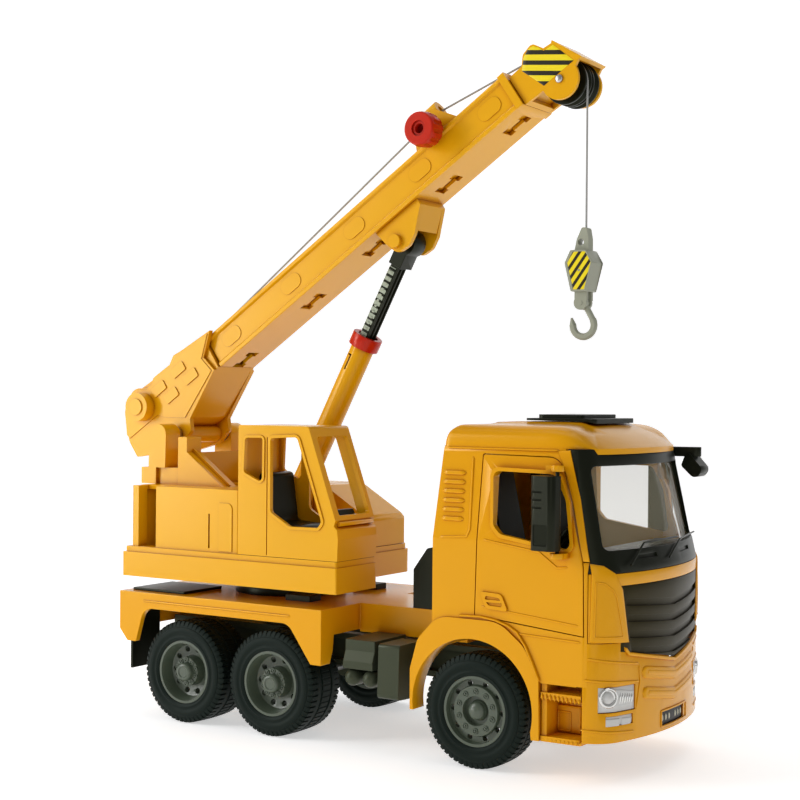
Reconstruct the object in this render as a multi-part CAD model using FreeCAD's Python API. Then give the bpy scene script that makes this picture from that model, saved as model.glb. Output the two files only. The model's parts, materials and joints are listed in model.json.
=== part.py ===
"""Toy truck crane: three-axle truck, slewing upper works, telescopic boom, winch and hook.

Millimetres.  +X is the truck's nose and +Z is up; "near" is the -Y side, "far" is the +Y side.
The part is drawn about a station line on the ground, and save() moves each piece so that the
origin lies on the ground under the middle of the overall box.
"""
import FreeCAD, Part
import math
import os

from FreeCAD import Vector

os.makedirs("parts", exist_ok=True)

# ---------------------------------------------------------------- driving dimensions
STATION_SHIFT_X = 4.25
TYRE_R = 27.0
RIM_R = 16.6
TYRE_OUTER_Y = 57.0
FRONT_TYRE_W = 17.0
REAR_TYRE_W = 26.0
AXLE_R = 2.0
AXLE_FIT = 0.08
FRONT_AXLE_X = 85.3
MID_AXLE_X = -34.1
REAR_AXLE_X = -91.5
RIM_HOLES = 10

DECK_REAR_X = -136.0
DECK_FRONT_X = -2.0
DECK_TOP_Z = 67.0
DECK_HALF_Y = 57.0
DECK_WALL = 2.2
SPINE_HALF_Y = 22.5
SPINE_BOTTOM_Z = 52.3

CAB_REAR_X = 62.5
CAB_HALF_Y = 57.0
CAB_FLOOR_Z = 66.0
CAB_WALL = 2.2
NOSE_X = 161.0
SCREEN_BOTTOM_Z = 95.0
SCREEN_TOP_Z = 149.0
SCREEN_RAKE_X = 13.0
ROOF_Z = 162.0

SLEW_X = -63.0
SKIRT_BOTTOM_Z = 75.0
SKIRT_TOP_Z = 88.0
TURRET_HALF_Y = 55.0
TURRET_REAR_X = -136.4
INTAKE_REAR_X = 30.0
TURRET_FRONT_X = 5.6
TURRET_FAR_FRONT_X = -20.0
HOUSE_TOP_Z = 124.0
HOUSE_HALF_Y = 53.0
SLOT_X = -77.4
PANEL_X = -61.8

CRANE_CAB_REAR_X = -57.5
CRANE_CAB_INNER_Y = -19.0
CRANE_CAB_ROOF_Z = 158.0
CRANE_CAB_WALL = 1.8

BOOM_ANGLE = 34.2
PIVOT_X = -130.0
PIVOT_Z = 151.0
PIVOT_R = 4.3
PIN_HALF_Y = 32.6
BOOM_HALF_Y = 15.0
BOOM_BOTTOM = 15.5
BOOM_TOP = 34.6
BOOM_START = 41.5
BOOM_END = 269.0
HEEL_HALF_Y = 18.0
BOSS_S = -12.0
BOSS_N = 26.4

JIB_HALF_Y = 11.5
JIB_BOTTOM = 17.6
JIB_TOP = 31.4
SHEAVE_S = 293.5
SHEAVE_N = 13.2
SHEAVE_R = 11.3
GROOVE_R = 9.6
SHEAVE_Y = 4.0
ROPE_R = 0.5

WINCH_S = 223.7
WINCH_N = 36.9
WINCH_SHAFT_R = 1.7
ROPE_EYE_N = 49.6
LIFT_S = 174.8
LIFT_N = 4.9
LIFT_BASE_X = -62.5
LIFT_BASE_Z = 112.0
LIFT_TRUNNION_R = 1.45
LIFT_TUBE_R = 6.25
LIFT_BORE_R = 5.5

HOOK_PIN_Z = 219.3
BLOCK_TOP_Z = 244.6
BLOCK_BOTTOM_Z = 224.6


# ---------------------------------------------------------------- shape helpers
def box(x0, x1, y0, y1, z0, z1):
    return Part.makeBox(x1 - x0, y1 - y0, z1 - z0, Vector(x0, y0, z0))


def rod_y(x, z, r, y0, y1):
    return Part.makeCylinder(r, y1 - y0, Vector(x, y0, z), Vector(0, 1, 0))


def rod_z(x, y, r, z0, z1):
    return Part.makeCylinder(r, z1 - z0, Vector(x, y, z0), Vector(0, 0, 1))


def rod_between(a, b, r):
    a = Vector(*a)
    b = Vector(*b)
    return Part.makeCylinder(r, (b - a).Length, a, b - a)


def outline(points):
    """Closed 2-D outline as a list of edges; a point (u, v, r) has its corner rounded to r."""
    flat = [Vector(p[0], p[1], 0) for p in points]
    radii = [p[2] if len(p) > 2 else 0.0 for p in points]
    count = len(flat)
    starts = []
    ends = []
    arcs = []
    for i in range(count):
        before = (flat[i - 1] - flat[i]).normalize()
        after = (flat[(i + 1) % count] - flat[i]).normalize()
        r = radii[i]
        if r <= 0:
            starts.append(flat[i])
            ends.append(flat[i])
            arcs.append(None)
            continue
        half = before.getAngle(after) / 2
        reach = r / math.tan(half)
        a = flat[i] + before * reach
        b = flat[i] + after * reach
        inward = (before + after).normalize()
        middle = flat[i] + inward * (r / math.sin(half) - r)
        starts.append(a)
        ends.append(b)
        arcs.append(Part.Arc(a, middle, b).toShape())
    edges = []
    for i in range(count):
        if arcs[i]:
            edges.append(arcs[i])
        a = ends[i]
        b = starts[(i + 1) % count]
        if (b - a).Length > 1e-6:
            edges.append(Part.LineSegment(a, b).toShape())
    return edges


def face_of(points):
    return Part.Face(Part.Wire(outline(points)))


def prism_y(points, y0, y1):
    """Outline drawn in (x, z), carried from y0 to y1."""
    face = face_of(points)
    face.rotate(Vector(0, 0, 0), Vector(1, 0, 0), 90)
    face.translate(Vector(0, y0, 0))
    return face.extrude(Vector(0, y1 - y0, 0))


def prism_z(points, z0, z1, lean=0.0):
    """Outline drawn in (x, y), carried from z0 to z1 while it moves by lean along X."""
    face = face_of(points)
    face.translate(Vector(0, 0, z0))
    return face.extrude(Vector(lean, 0, z1 - z0))


def prism_x(points, x0, x1):
    """Outline drawn in (y, z), carried from x0 to x1."""
    face = face_of(points)
    face.rotate(Vector(0, 0, 0), Vector(1, 1, 1), 120)
    face.translate(Vector(x0, 0, 0))
    return face.extrude(Vector(x1 - x0, 0, 0))


def turned_y(points, x, z):
    """Profile drawn as (radius, y), turned about an axis along Y through (x, z)."""
    face = face_of(points)
    solid = face.revolve(Vector(0, 0, 0), Vector(0, 1, 0), 360)
    solid.translate(Vector(x, 0, z))
    return solid


def mirrored(shape):
    return shape.mirror(Vector(0, 0, 0), Vector(0, 1, 0))


def both_sides(shape):
    return Part.makeCompound([shape, mirrored(shape)])


def fuse(shapes):
    shapes = list(shapes)
    if len(shapes) == 1:
        return shapes[0]
    return shapes[0].fuse(shapes[1:]).removeSplitter()


def cut(shape, tools):
    return shape.cut(list(tools))


def boom_place(shape):
    """Carry a shape from boom coordinates (along the boom, y, up from the pivot) to the rest pose."""
    shape = shape.copy()
    shape.rotate(Vector(0, 0, 0), Vector(0, 1, 0), -BOOM_ANGLE)
    shape.translate(Vector(PIVOT_X, 0, PIVOT_Z))
    return shape


def boom_point(s, n, y=0.0):
    a = math.radians(BOOM_ANGLE)
    x = PIVOT_X + s * math.cos(a) - n * math.sin(a)
    z = PIVOT_Z + s * math.sin(a) + n * math.cos(a)
    return (x, y, z)


def save(name, shape):
    solids = shape.Solids
    if not shape.isValid():
        print("INVALID", name)
    if len(solids) == 1:
        shape = solids[0]
    else:
        shape = Part.makeCompound(solids)
    shape.translate(Vector(STATION_SHIFT_X, 0, 0))
    shape.exportStep("parts/" + name + ".step")
    b = shape.optimalBoundingBox(True, False)
    print("%-20s %d solids  x %.1f %.1f  y %.1f %.1f  z %.1f %.1f" % (
        name, len(solids), b.XMin, b.XMax, b.YMin, b.YMax, b.ZMin, b.ZMax))


# ---------------------------------------------------------------- wheels and axles
def tyre(x, width):
    """Near-side tyre with rounded shoulders and an open bead seat."""
    y0 = -TYRE_OUTER_Y
    y1 = y0 + width
    profile = [(RIM_R, y0 + 1.4), (RIM_R + 2.5, y0, 1.5), (TYRE_R - 4.0, y0 - 0.0, 2.5),
               (TYRE_R, y0 + 2.6, 1.2),
               (TYRE_R, y1 - 2.6, 1.2), (TYRE_R - 4.0, y1, 2.5), (RIM_R + 2.5, y1, 1.5), (RIM_R, y1 - 1.4)]
    return turned_y(profile, x, TYRE_R)


def front_rim(x):
    """Front rim: nearly flat disc with a recessed middle and a domed hub cap."""
    y0 = -TYRE_OUTER_Y
    y1 = y0 + FRONT_TYRE_W
    rim = turned_y([(AXLE_R, y0 + 4.0), (3.6, y0 + 1.6, 1.5), (5.0, y0 + 5.4), (7.0, y0 + 5.4),
                    (7.0, y0 + 2.2),
                    (11.6, y0 + 2.2), (12.2, y0 + 4.2), (14.8, y0 + 4.2), (15.2, y0 + 0.9),
                    (RIM_R - 0.1, y0 + 0.9),
                    (RIM_R - 0.1, y1 - 1.0), (14.0, y1 - 1.0), (14.0, y0 + 8.0),
                    (AXLE_R, y0 + 8.0)], x, TYRE_R)
    return drilled(rim, x, 13.2, 1.35, y0)


def rear_rim(x):
    """Rear rim: deep dish with a protruding hub."""
    y0 = -TYRE_OUTER_Y
    y1 = y0 + REAR_TYRE_W
    rim = turned_y([(AXLE_R, y0 + 1.0), (4.6, y0 + 1.0, 0.6), (5.0, y0 + 3.6), (7.4, y0 + 3.6),
                    (8.0, y0 + 9.0),
                    (13.6, y0 + 8.0), (15.2, y0 + 0.9), (RIM_R - 0.1, y0 + 0.9), (RIM_R - 0.1, y1 - 1.0),
                    (14.6, y1 - 1.0), (14.6, y0 + 12.0), (AXLE_R, y0 + 12.0)], x, TYRE_R)
    return drilled(rim, x, 11.4, 1.5, y0)


def drilled(rim, x, circle_r, hole_r, y0):
    holes = []
    for i in range(RIM_HOLES):
        a = 2 * math.pi * i / RIM_HOLES
        holes.append(rod_y(x + circle_r * math.cos(a), TYRE_R + circle_r * math.sin(a), hole_r, y0 - 1,
                           y0 + 20))
    return cut(rim, holes)


def save_wheel_set(name, x, width, make_rim):
    save(name + "_tyres", both_sides(tyre(x, width)))
    save(name + "_rims", both_sides(make_rim(x)))
    save(name + "_axle", rod_y(x, TYRE_R, AXLE_R, -TYRE_OUTER_Y + 3.0, TYRE_OUTER_Y - 3.0))


save_wheel_set("front", FRONT_AXLE_X, FRONT_TYRE_W, front_rim)
save_wheel_set("mid", MID_AXLE_X, REAR_TYRE_W, rear_rim)
save_wheel_set("rear", REAR_AXLE_X, REAR_TYRE_W, rear_rim)


# ---------------------------------------------------------------- chassis frame
def chassis_frame():
    """Two channel rails, cross members and a bearing block over each axle."""
    rails = []
    for side in (-1, 1):
        rail = box(-130.0, 128.0, side * 16 - 3, side * 16 + 3, 33.0, 50.0)
        groove = box(-128.0, 126.0, min(side * 16, side * 20), max(side * 16, side * 20), 36.0, 47.0)
        rails.append(rail.cut(groove))
    crosses = [box(x - 4, x + 4, -14.0, 14.0, 35.0, 49.0) for x in (-126.0, SLEW_X, 10.0, 120.0)]
    blocks = []
    bores = []
    for x in (REAR_AXLE_X, MID_AXLE_X, FRONT_AXLE_X):
        for y in (-16.0, 16.0):
            blocks.append(prism_y([(x - 6, 20.5, 3), (x + 6, 20.5, 3), (x + 8, 34), (x - 8, 34)], y - 3,
                                  y + 3))
        bores.append(rod_y(x, TYRE_R, AXLE_R + AXLE_FIT, -20, 20))
    pedestal = rod_z(SLEW_X, 0, 15.0, 49.0, 64.0)
    tie = box(SLEW_X - 16, SLEW_X + 16, -18.0, 18.0, 46.0, 50.0)
    frame = fuse(rails + crosses + blocks + [pedestal, tie])
    return cut(frame, bores + [rod_z(SLEW_X, 0, 6.05, 40.0, 70.0)])


save("chassis_frame", chassis_frame())


# ---------------------------------------------------------------- rear deck and spine
def rear_deck():
    """Moulded deck: open-bottomed box with one long arch per side, and the narrow spine to the cab."""
    top = box(DECK_REAR_X, DECK_FRONT_X, -DECK_HALF_Y, DECK_HALF_Y, DECK_TOP_Z - DECK_WALL, DECK_TOP_Z)
    side_profile = [(DECK_REAR_X, DECK_TOP_Z), (DECK_REAR_X, 46.5), (-130.5, 40.3), (-124.4, 40.3),
                    (-119.0, 58.6, 8),
                    (-22.5, 58.6, 8), (-8.4, 39.4), (DECK_FRONT_X, 39.4), (DECK_FRONT_X, DECK_TOP_Z)]
    near = prism_y(side_profile, -DECK_HALF_Y, -DECK_HALF_Y + 3.2)
    bead = box(-119.0, -21.5, -DECK_HALF_Y - 0.5, -DECK_HALF_Y, 62.0, 63.0)
    rear_wall = box(DECK_REAR_X, DECK_REAR_X + 3.0, -DECK_HALF_Y, DECK_HALF_Y, 46.5, DECK_TOP_Z)
    front_wall = prism_x([(-DECK_HALF_Y, DECK_TOP_Z), (-DECK_HALF_Y, 39.4), (-49.0, 39.4), (-46.4, 46.0),
                          (-45.6, 53.5), (45.6, 53.5), (46.4, 46.0), (49.0, 39.4),
                          (DECK_HALF_Y, 39.4), (DECK_HALF_Y, DECK_TOP_Z)], DECK_FRONT_X - 3.0, DECK_FRONT_X)
    spine = box(DECK_FRONT_X, CAB_REAR_X - 0.4, -SPINE_HALF_Y, SPINE_HALF_Y, SPINE_BOTTOM_Z, DECK_TOP_Z)
    hollow = box(DECK_FRONT_X - 1, CAB_REAR_X - 3, -SPINE_HALF_Y + 2.2, SPINE_HALF_Y - 2.2,
                 SPINE_BOTTOM_Z - 1, DECK_TOP_Z - 2.2)
    deck = fuse([top, near, mirrored(near), bead, mirrored(bead), rear_wall, front_wall, spine.cut(hollow)])
    return cut(deck, [rod_z(SLEW_X, 0, 15.2, 50.0, 80.0)])


save("rear_deck", rear_deck())

plates = [box(-132.0, -96.0, y - 16, y + 16, DECK_TOP_Z, DECK_TOP_Z + 1.4) for y in (-35.0, 35.0)]
blocks = [box(-40.0, -24.0, y - 5, y + 5, DECK_TOP_Z, DECK_TOP_Z + 3.0) for y in (-31.0, 31.0)]
save("deck_plates", Part.makeCompound(plates + blocks))
ring = rod_z(SLEW_X, 0, 30.0, DECK_TOP_Z, DECK_TOP_Z + 4.0).cut(rod_z(SLEW_X, 0, 15.2, DECK_TOP_Z - 1, 80))
save("turntable_ring", ring)
flap = box(-132.6, -131.0, -52.0, -30.0, 24.5, 58.0)
save("mudflaps", both_sides(flap))


# ---------------------------------------------------------------- lockers and tanks between the axles
def battery_box():
    profile = [(-53.5, 39.2), (-53.5, 43.0), (-51.5, 48.0), (-51.5, 53.4), (-23.0, 53.4), (-23.0, 39.2)]
    return prism_x(profile, 9.0, 26.5)


def side_locker():
    return prism_x([(-56.0, 27.0, 2), (-55.0, 53.3, 1.5), (-34.0, 53.3), (-34.0, 26.0, 2)], 31.0, 43.0)


def air_tank(x):
    barrel = rod_y(x, 34.6, 4.2, -50.0, -24.0)
    dome = Part.makeSphere(4.2, Vector(x, -50.0, 34.6))
    return fuse([barrel, dome])


locker_arm = box(33.0, 41.0, -34.0, -19.2, 40.0, 46.0)
save("battery_boxes", both_sides(battery_box()))
save("side_lockers", both_sides(fuse([side_locker(), locker_arm])))
tank_strap = box(8.0, 28.0, -40.0, -38.0, 33.5, 39.2)
save("air_tanks", both_sides(fuse([air_tank(13.0), air_tank(23.5), tank_strap])))


# ---------------------------------------------------------------- intake tower behind the cab
def intake_tower():
    tower = prism_y([(INTAKE_REAR_X, DECK_TOP_Z), (INTAKE_REAR_X, 86.5), (38.0, 97.5, 2), (43.0, 98.5),
                     (47.0, 103.0), (60.5, 103.0), (60.5, DECK_TOP_Z)], -22.0, 10.0)
    foot = box(INTAKE_REAR_X, 60.5, 10.0, 24.0, DECK_TOP_Z, 80.0)
    return fuse([tower, foot])


save("intake_tower", intake_tower())


# ---------------------------------------------------------------- truck cab
def cab_plan(grow, front_shift):
    """Plan outline of the cab: straight sides, rounded corners and a gently bowed front."""
    w = CAB_HALF_Y - grow
    nose = NOSE_X - grow + front_shift
    rear = CAB_REAR_X + grow
    corner = 13.0 - grow * 0.6
    edges = [Part.LineSegment(Vector(rear, w, 0), Vector(rear, -w, 0)),
             Part.LineSegment(Vector(rear, -w, 0), Vector(nose - 7 - corner, -w, 0)),
             Part.Arc(Vector(nose - 7 - corner, -w, 0),
                      Vector(nose - 7 - corner * 0.38, -w + corner * 0.34, 0),
                      Vector(nose - 7, -w + corner, 0)),
             Part.Arc(Vector(nose - 7, -w + corner, 0), Vector(nose, 0, 0), Vector(nose - 7, w - corner, 0)),
             Part.Arc(Vector(nose - 7, w - corner, 0), Vector(nose - 7 - corner * 0.38, w - corner * 0.34, 0),
                      Vector(nose - 7 - corner, w, 0)),
             Part.LineSegment(Vector(nose - 7 - corner, w, 0), Vector(rear, w, 0))]
    return Part.Face(Part.Wire([e.toShape() for e in edges]))


def cab_block(grow):
    """The cab's outside (grow 0) or its inside (grow = wall) as one solid."""
    low = cab_plan(grow, 0.0)
    low.translate(Vector(0, 0, 15.0))
    low = low.extrude(Vector(0, 0, SCREEN_BOTTOM_Z - 15.0))
    high = cab_plan(grow, 0.0)
    high.translate(Vector(0, 0, SCREEN_BOTTOM_Z))
    rise = 75.0
    high = high.extrude(Vector(-SCREEN_RAKE_X * rise / (SCREEN_TOP_Z - SCREEN_BOTTOM_Z), 0, rise))
    upright = box(CAB_REAR_X + grow, 130.0, -CAB_HALF_Y + grow, CAB_HALF_Y - grow, 15.0, 175.0)
    profile = [(CAB_REAR_X + grow, 15.0), (CAB_REAR_X + grow, 107.0), (67.0 + grow, 160.0 - grow, 8),
               (84.0, ROOF_Z - grow + 0.6, 30), (128.0, ROOF_Z - grow + 0.4, 26),
               (152.0 - grow, 152.0 - grow, 7),
               (153.0 - grow, 140.0), (170.0, 90.0), (170.0, 15.0)]
    side = prism_y(profile, -70.0, 70.0)
    lean = 4.0
    w = CAB_HALF_Y - grow
    cross = prism_x([(-w, 10.0), (-w, 107.0), (-w + lean, 150.0, 6), (-w + 16.0, ROOF_Z + 1.5 - grow, 22),
                     (0, ROOF_Z + 2.5 - grow, 60), (w - 16.0, ROOF_Z + 1.5 - grow, 22), (w - lean, 150.0, 6),
                     (w, 107.0), (w, 10.0)], 40.0, 180.0)
    return low.fuse([high, upright]).common(side).common(cross)


CAB_OUTSIDE = cab_block(0.0)
CAB_INSIDE = cab_block(CAB_WALL)
ROOF_CUT_Z = 150.5
DOOR_REAR_X = 87.8
DOOR_FRONT_X = 141.8
DOOR_BOTTOM_Z = 72.4
DOOR_BOTTOM_FRONT_Z = 67.2
DOOR_TOP_Z = 146.8
ARCH_X = 84.5
ARCH_R = 33.5


def door_outline(gap):
    return [(DOOR_REAR_X - 2.0 - gap, DOOR_BOTTOM_Z - gap), (DOOR_REAR_X - gap, DOOR_TOP_Z + gap, 1),
            (128.0, DOOR_TOP_Z + gap - 0.6, 8),
            (DOOR_FRONT_X - 8.4 + gap, 127.0, 24), (DOOR_FRONT_X - 1.0 + gap, 100.0, 40),
            (DOOR_FRONT_X - 0.6 + gap, DOOR_BOTTOM_FRONT_Z - gap)]


DOOR_WINDOW = [(95.4, 139.6, 3), (127.0, 139.0, 4), (132.5, 127.5, 6), (135.0, 104.9, 3), (99.0, 110.5, 4),
               (95.4, 114.5, 3)]


def wheel_arch(r):
    return rod_y(ARCH_X, TYRE_R + 2.0, r, -80.0, 80.0)


def cab_shell():
    """Cab body with floor, door openings, wheel arches and an open front for the screen."""
    below_roof = box(40, 180, -70, 70, 44.5, ROOF_CUT_Z)
    inside = CAB_INSIDE.common(box(40, 180, -70, 70, CAB_FLOOR_Z + 2.0, ROOF_CUT_Z + 1))
    under = CAB_INSIDE.common(box(40, 180, -70, 70, 40.0, CAB_FLOOR_Z))
    doors = prism_y(door_outline(0.5), -80.0, 80.0).cut(box(40, 180, -50.0, 50.0, 20, 170))
    screen = box(118.0, 180.0, -49.0, 49.0, SCREEN_BOTTOM_Z, ROOF_CUT_Z + 1)
    corner = box(130.0, 180.0, -70, 70, SCREEN_BOTTOM_Z + 5.0, ROOF_CUT_Z + 1)
    front = box(143.0, 180.0, -70, 70, 20.0, SCREEN_BOTTOM_Z + 0.2)
    arches = wheel_arch(ARCH_R)
    shell = CAB_OUTSIDE.common(below_roof)
    return cut(shell, [inside, under, doors, screen, corner, front, arches])


def cab_roof():
    cap = CAB_OUTSIDE.common(box(40, 180, -70, 70, ROOF_CUT_Z, 175))
    return cap.cut(CAB_INSIDE)


def nose_panel():
    """Yellow nose between the screen and the bumper, with the corner panels and the grille opening."""
    nose = CAB_OUTSIDE.common(box(143.2, 180.0, -70, 70, 64.2, SCREEN_BOTTOM_Z))
    nose = nose.cut(CAB_INSIDE)
    grille_hole = prism_x([(-44.5, 60.0), (-49.0, 89.4), (49.0, 89.4), (44.5, 60.0)], 140.0, 180.0)
    return cut(nose, [grille_hole])


def windscreen_frame():
    """Black frame round the screen: the band of the cab's own surface between roof and nose."""
    band = CAB_OUTSIDE.common(box(118.0, 180.0, -70, 70, SCREEN_BOTTOM_Z + 0.2, ROOF_CUT_Z - 0.2))
    band = band.cut(CAB_INSIDE)
    rearward = prism_y([(80.0, 200.0), (80.0, 80.0), (141.6, 80.0), (143.4, 100.0), (130.8, 150.6),
                        (130.8, 200.0)],
                       -80.0, 80.0)
    opening = prism_x([(-51.0, 105.2, 3), (-49.0, 142.6, 3), (49.0, 142.6, 3), (51.0, 105.2, 3)], 120.0,
                      180.0)
    recesses = [box(150.0, 180.0, y0, y1, 100.8, 102.6).cut(cab_block(0.9)) for y0,
                y1 in ((-31.0, -15.5), (10.0, 26.0))]
    return cut(band, [rearward, opening] + recesses)


def windscreen_glass():
    inner = cab_block(CAB_WALL)
    pane = cab_block(CAB_WALL + 0.1).cut(cab_block(CAB_WALL + 1.1))
    window = prism_x([(-52.6, 103.2), (-50.8, 144.6), (50.8, 144.6), (52.6, 103.2)], 130.0, 180.0)
    return pane.common(window).common(inner)


SHELL = cab_shell()
FRAME = windscreen_frame()
save("cab_shell", SHELL.cut(FRAME))
save("cab_roof", cab_roof())
save("nose_panel", nose_panel())
save("windscreen_frame", FRAME)
save("windscreen_glass", windscreen_glass())
hatch = fuse([prism_z([(93.0, -24.0, 4), (130.0, -24.0, 4), (130.0, 24.0, 4), (93.0, 24.0, 4)], 161.0, 163.6),
              prism_z([(98.0, -20.0, 3), (122.0, -20.0, 3), (122.0, 20.0, 3), (98.0, 20.0, 3)], 163.6,
                      165.4)])
save("roof_hatch", hatch.cut(CAB_OUTSIDE))


# ---------------------------------------------------------------- grille, bumper, lamps, plate
def grille():
    body = CAB_OUTSIDE.common(box(150.0, 180.0, -49.0, 49.0, 50.0, 89.2)).cut(cab_block(CAB_WALL + 1.5))
    keep = prism_x([(-44.0, 60.0), (-48.5, 89.2), (48.5, 89.2), (44.0, 60.0), (0.0, 52.8)], 140.0, 180.0)
    slots = []
    for i in range(4):
        z = 83.5 - i * 7.4
        w = 41.0 - i * 1.2
        slots.append(prism_x([(-w, z), (-w, z - 3.2), (0, z - 6.4), (w, z - 3.2), (w, z), (0, z - 3.2)],
                             158.0 - 8, 180.0)
                     .cut(cab_block(1.2)))
    return cut(body.common(keep), slots)


def bumper():
    """Deep bumper shell with lamp pockets and two chevron bars across the middle."""
    outer = CAB_OUTSIDE.common(box(141.0, 180.0, -70, 70, 19.5, 64.0))
    outer = outer.cut(cab_block(CAB_WALL))
    grille_cut = prism_x([(-44.6, 70.0), (-44.6, 60.0), (0.0, 52.2), (44.6, 60.0), (44.6, 70.0)], 140.0,
                         180.0)
    pockets = []
    for side in (-1, 1):
        pockets.append(box(141.8, 180.0, min(side * 34.5, side * 54.0), max(side * 34.5, side * 54.0),
                           33.0, 44.5))
        pockets.append(box(141.8, 180.0, min(side * 36.0, side * 51.5), max(side * 36.0, side * 51.5),
                           27.0, 31.5))
    plate_hole = box(150.0, 180.0, -13.0, 13.0, 21.5, 29.0)
    lip = box(141.0, 150.0, -CAB_HALF_Y + 3.0, CAB_HALF_Y - 3.0, 60.0, 62.5).common(cab_block(0.4))
    return cut(fuse([outer, lip]), [grille_cut, plate_hole] + pockets)


def lamp(y0, y1, z0, z1, depth):
    return cab_block(0.5).cut(cab_block(depth)).common(box(142.0, 180.0, y0, y1, z0, z1))


save("grille", grille())
save("bumper", bumper().cut(SHELL))
headlamp = lamp(-53.8, -34.7, 33.2, 44.3, 5.0)
fog_lamp = lamp(-51.3, -36.2, 27.2, 31.3, 4.0)
save("front_lamps", both_sides(Part.makeCompound([headlamp, fog_lamp])))
save("number_plate", cab_block(0.7).cut(cab_block(3.0)).common(box(150.0, 180.0, -12.8, 12.8, 21.7, 28.8)))


# ---------------------------------------------------------------- front wings and steps
def fender():
    """Near wing: an arched lip round the wheel with a skirt running down to the bumper."""
    w0 = -CAB_HALF_Y - 1.0
    w1 = -CAB_HALF_Y + 9.0
    outer = prism_y([(50.9, 24.5), (50.9, 44.0), (55.0, 58.5, 10), (66.0, 70.2, 14), (99.0, 70.2, 18),
                     (112.0, 60.0, 16),
                     (119.6, 45.8), (120.0, 18.0), (116.0, 18.0), (114.8, 30.0), (53.0, 24.5)], w0, w1)
    outer = outer.cut(rod_y(ARCH_X, TYRE_R + 2.0, ARCH_R - 1.5, w0 - 1, w1 + 1))
    return outer.cut(box(53.2, 114.6, w0 - 1, w1 + 1, 10.0, TYRE_R + 2.0))


def cab_step():
    """Near entry step: skirt panel above, two treads below, between wing and bumper."""
    y0 = -CAB_HALF_Y
    skirt = prism_y([(120.2, 44.2), (113.5, 61.0), (104.0, 68.5), (140.0, 66.0), (140.4, 62.0),
                     (138.0, 58.0), (138.0, 44.2)], y0, y0 + 2.5)
    upper = box(120.4, 140.4, y0, y0 + 16.0, 37.5, 40.3)
    riser = box(120.4, 140.4, y0 + 13.5, y0 + 16.0, 20.0, 66.0)
    lower = prism_z([(120.4, y0), (140.4, y0 + 0.5, 2), (140.4, y0 + 16.0), (120.4, y0 + 16.0)], 18.0, 20.5)
    cheek = box(120.4, 123.0, y0 + 1.0, y0 + 16.0, 18.0, 44.0)
    return fuse([skirt, upper, riser, lower, cheek])


save("front_wings", both_sides(fender().cut(SHELL)))
save("cab_steps", both_sides(cab_step().cut(SHELL)))


# ---------------------------------------------------------------- cab inside
def cab_interior():
    """Dark inner moulding: floor tray, dashboard, engine hump and two seats."""
    tray = CAB_INSIDE.common(box(66.0, 139.0, -47.6, 47.6, CAB_FLOOR_Z + 2.0, CAB_FLOOR_Z + 4.0))
    dash = cab_block(CAB_WALL + 3.0).common(box(132.0, 151.0, -47.0, 47.0, CAB_FLOOR_Z + 4.0, 103.0))
    seats = []
    for y in (-26.0, 26.0):
        cushion = prism_y([(84.0, 86.0, 3), (84.0, 94.0, 2), (108.0, 96.0, 4), (108.0, 87.0, 3)], y - 12,
                          y + 12)
        back = prism_y([(82.0, 92.0, 2), (76.0, 138.0, 2.5), (82.0, 139.0, 2.5), (92.0, 93.0, 2)],
                       y - 11.5, y + 11.5)
        stand = box(86.0, 104.0, y - 8, y + 8, CAB_FLOOR_Z + 3.0, 87.0)
        seats.append(fuse([cushion, back, stand]))
    column = rod_between((136.0, -26.0, 98.0), (121.5, -26.0, 108.5), 1.6)
    return fuse([tray, dash, column] + seats)


def steering_wheel():
    rim = Part.makeTorus(9.5, 1.2)
    spokes = [box(-9.5, 9.5, -1.0, 1.0, -0.8, 0.8), box(-1.0, 1.0, -9.5, 0, -0.8, 0.8)]
    hub = rod_z(0, 0, 2.6, -1.5, 1.5)
    wheel = fuse([rim, hub] + spokes)
    wheel.rotate(Vector(0, 0, 0), Vector(0, 1, 0), -54)
    wheel.translate(Vector(120.3, -26.0, 109.4))
    return wheel


save("cab_interior", cab_interior())
save("steering_wheel", steering_wheel())


# ---------------------------------------------------------------- doors and mirrors
def door():
    """Near cab door: curved front edge, open window with a raised lip, handle and mirror lugs."""
    skin = CAB_OUTSIDE.cut(CAB_INSIDE).common(prism_y(door_outline(0.0), -80.0, -49.5))
    lip_out = [(93.8, 141.4, 4), (128.6, 140.6, 5), (134.3, 127.0, 7), (137.0, 103.0, 4), (98.0, 108.8, 5),
               (93.8, 113.6, 4)]
    lip = prism_y(lip_out, -CAB_HALF_Y - 0.7, -52.0).cut(cab_block(0.6))
    handle = prism_y([(88.6, 83.6, 1), (100.0, 83.0, 3), (103.6, 75.2, 1), (92.0, 75.8, 3)],
                     -CAB_HALF_Y - 1.0, -CAB_HALF_Y + 0.5)
    dish = prism_y([(91.0, 81.8, 1), (99.0, 81.2, 2), (101.2, 77.0, 1), (93.0, 77.4, 2)],
                   -CAB_HALF_Y - 2.0, -CAB_HALF_Y - 0.2)
    bar = box(91.6, 100.0, -CAB_HALF_Y - 1.0, -CAB_HALF_Y, 78.8, 80.0)
    top_lug = rod_z(130.5, -62.0, 3.0, 140.6, 143.2)
    top_arm = box(124.5, 128.4, -62.0, -52.5, 140.6, 143.2)
    low_lug = rod_z(130.5, -62.0, 3.2, 101.6, 104.0)
    low_arm = box(127.6, 134.0, -62.0, -55.0, 101.6, 104.0)
    body = fuse([skin, lip, handle, top_lug, top_arm, low_lug, low_arm])
    body = cut(body, [prism_y(DOOR_WINDOW, -70.0, -40.0), dish])
    body = fuse([body, bar])
    return body.cut(rod_z(130.5, -62.0, 0.95, 100.0, 142.4))


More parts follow.
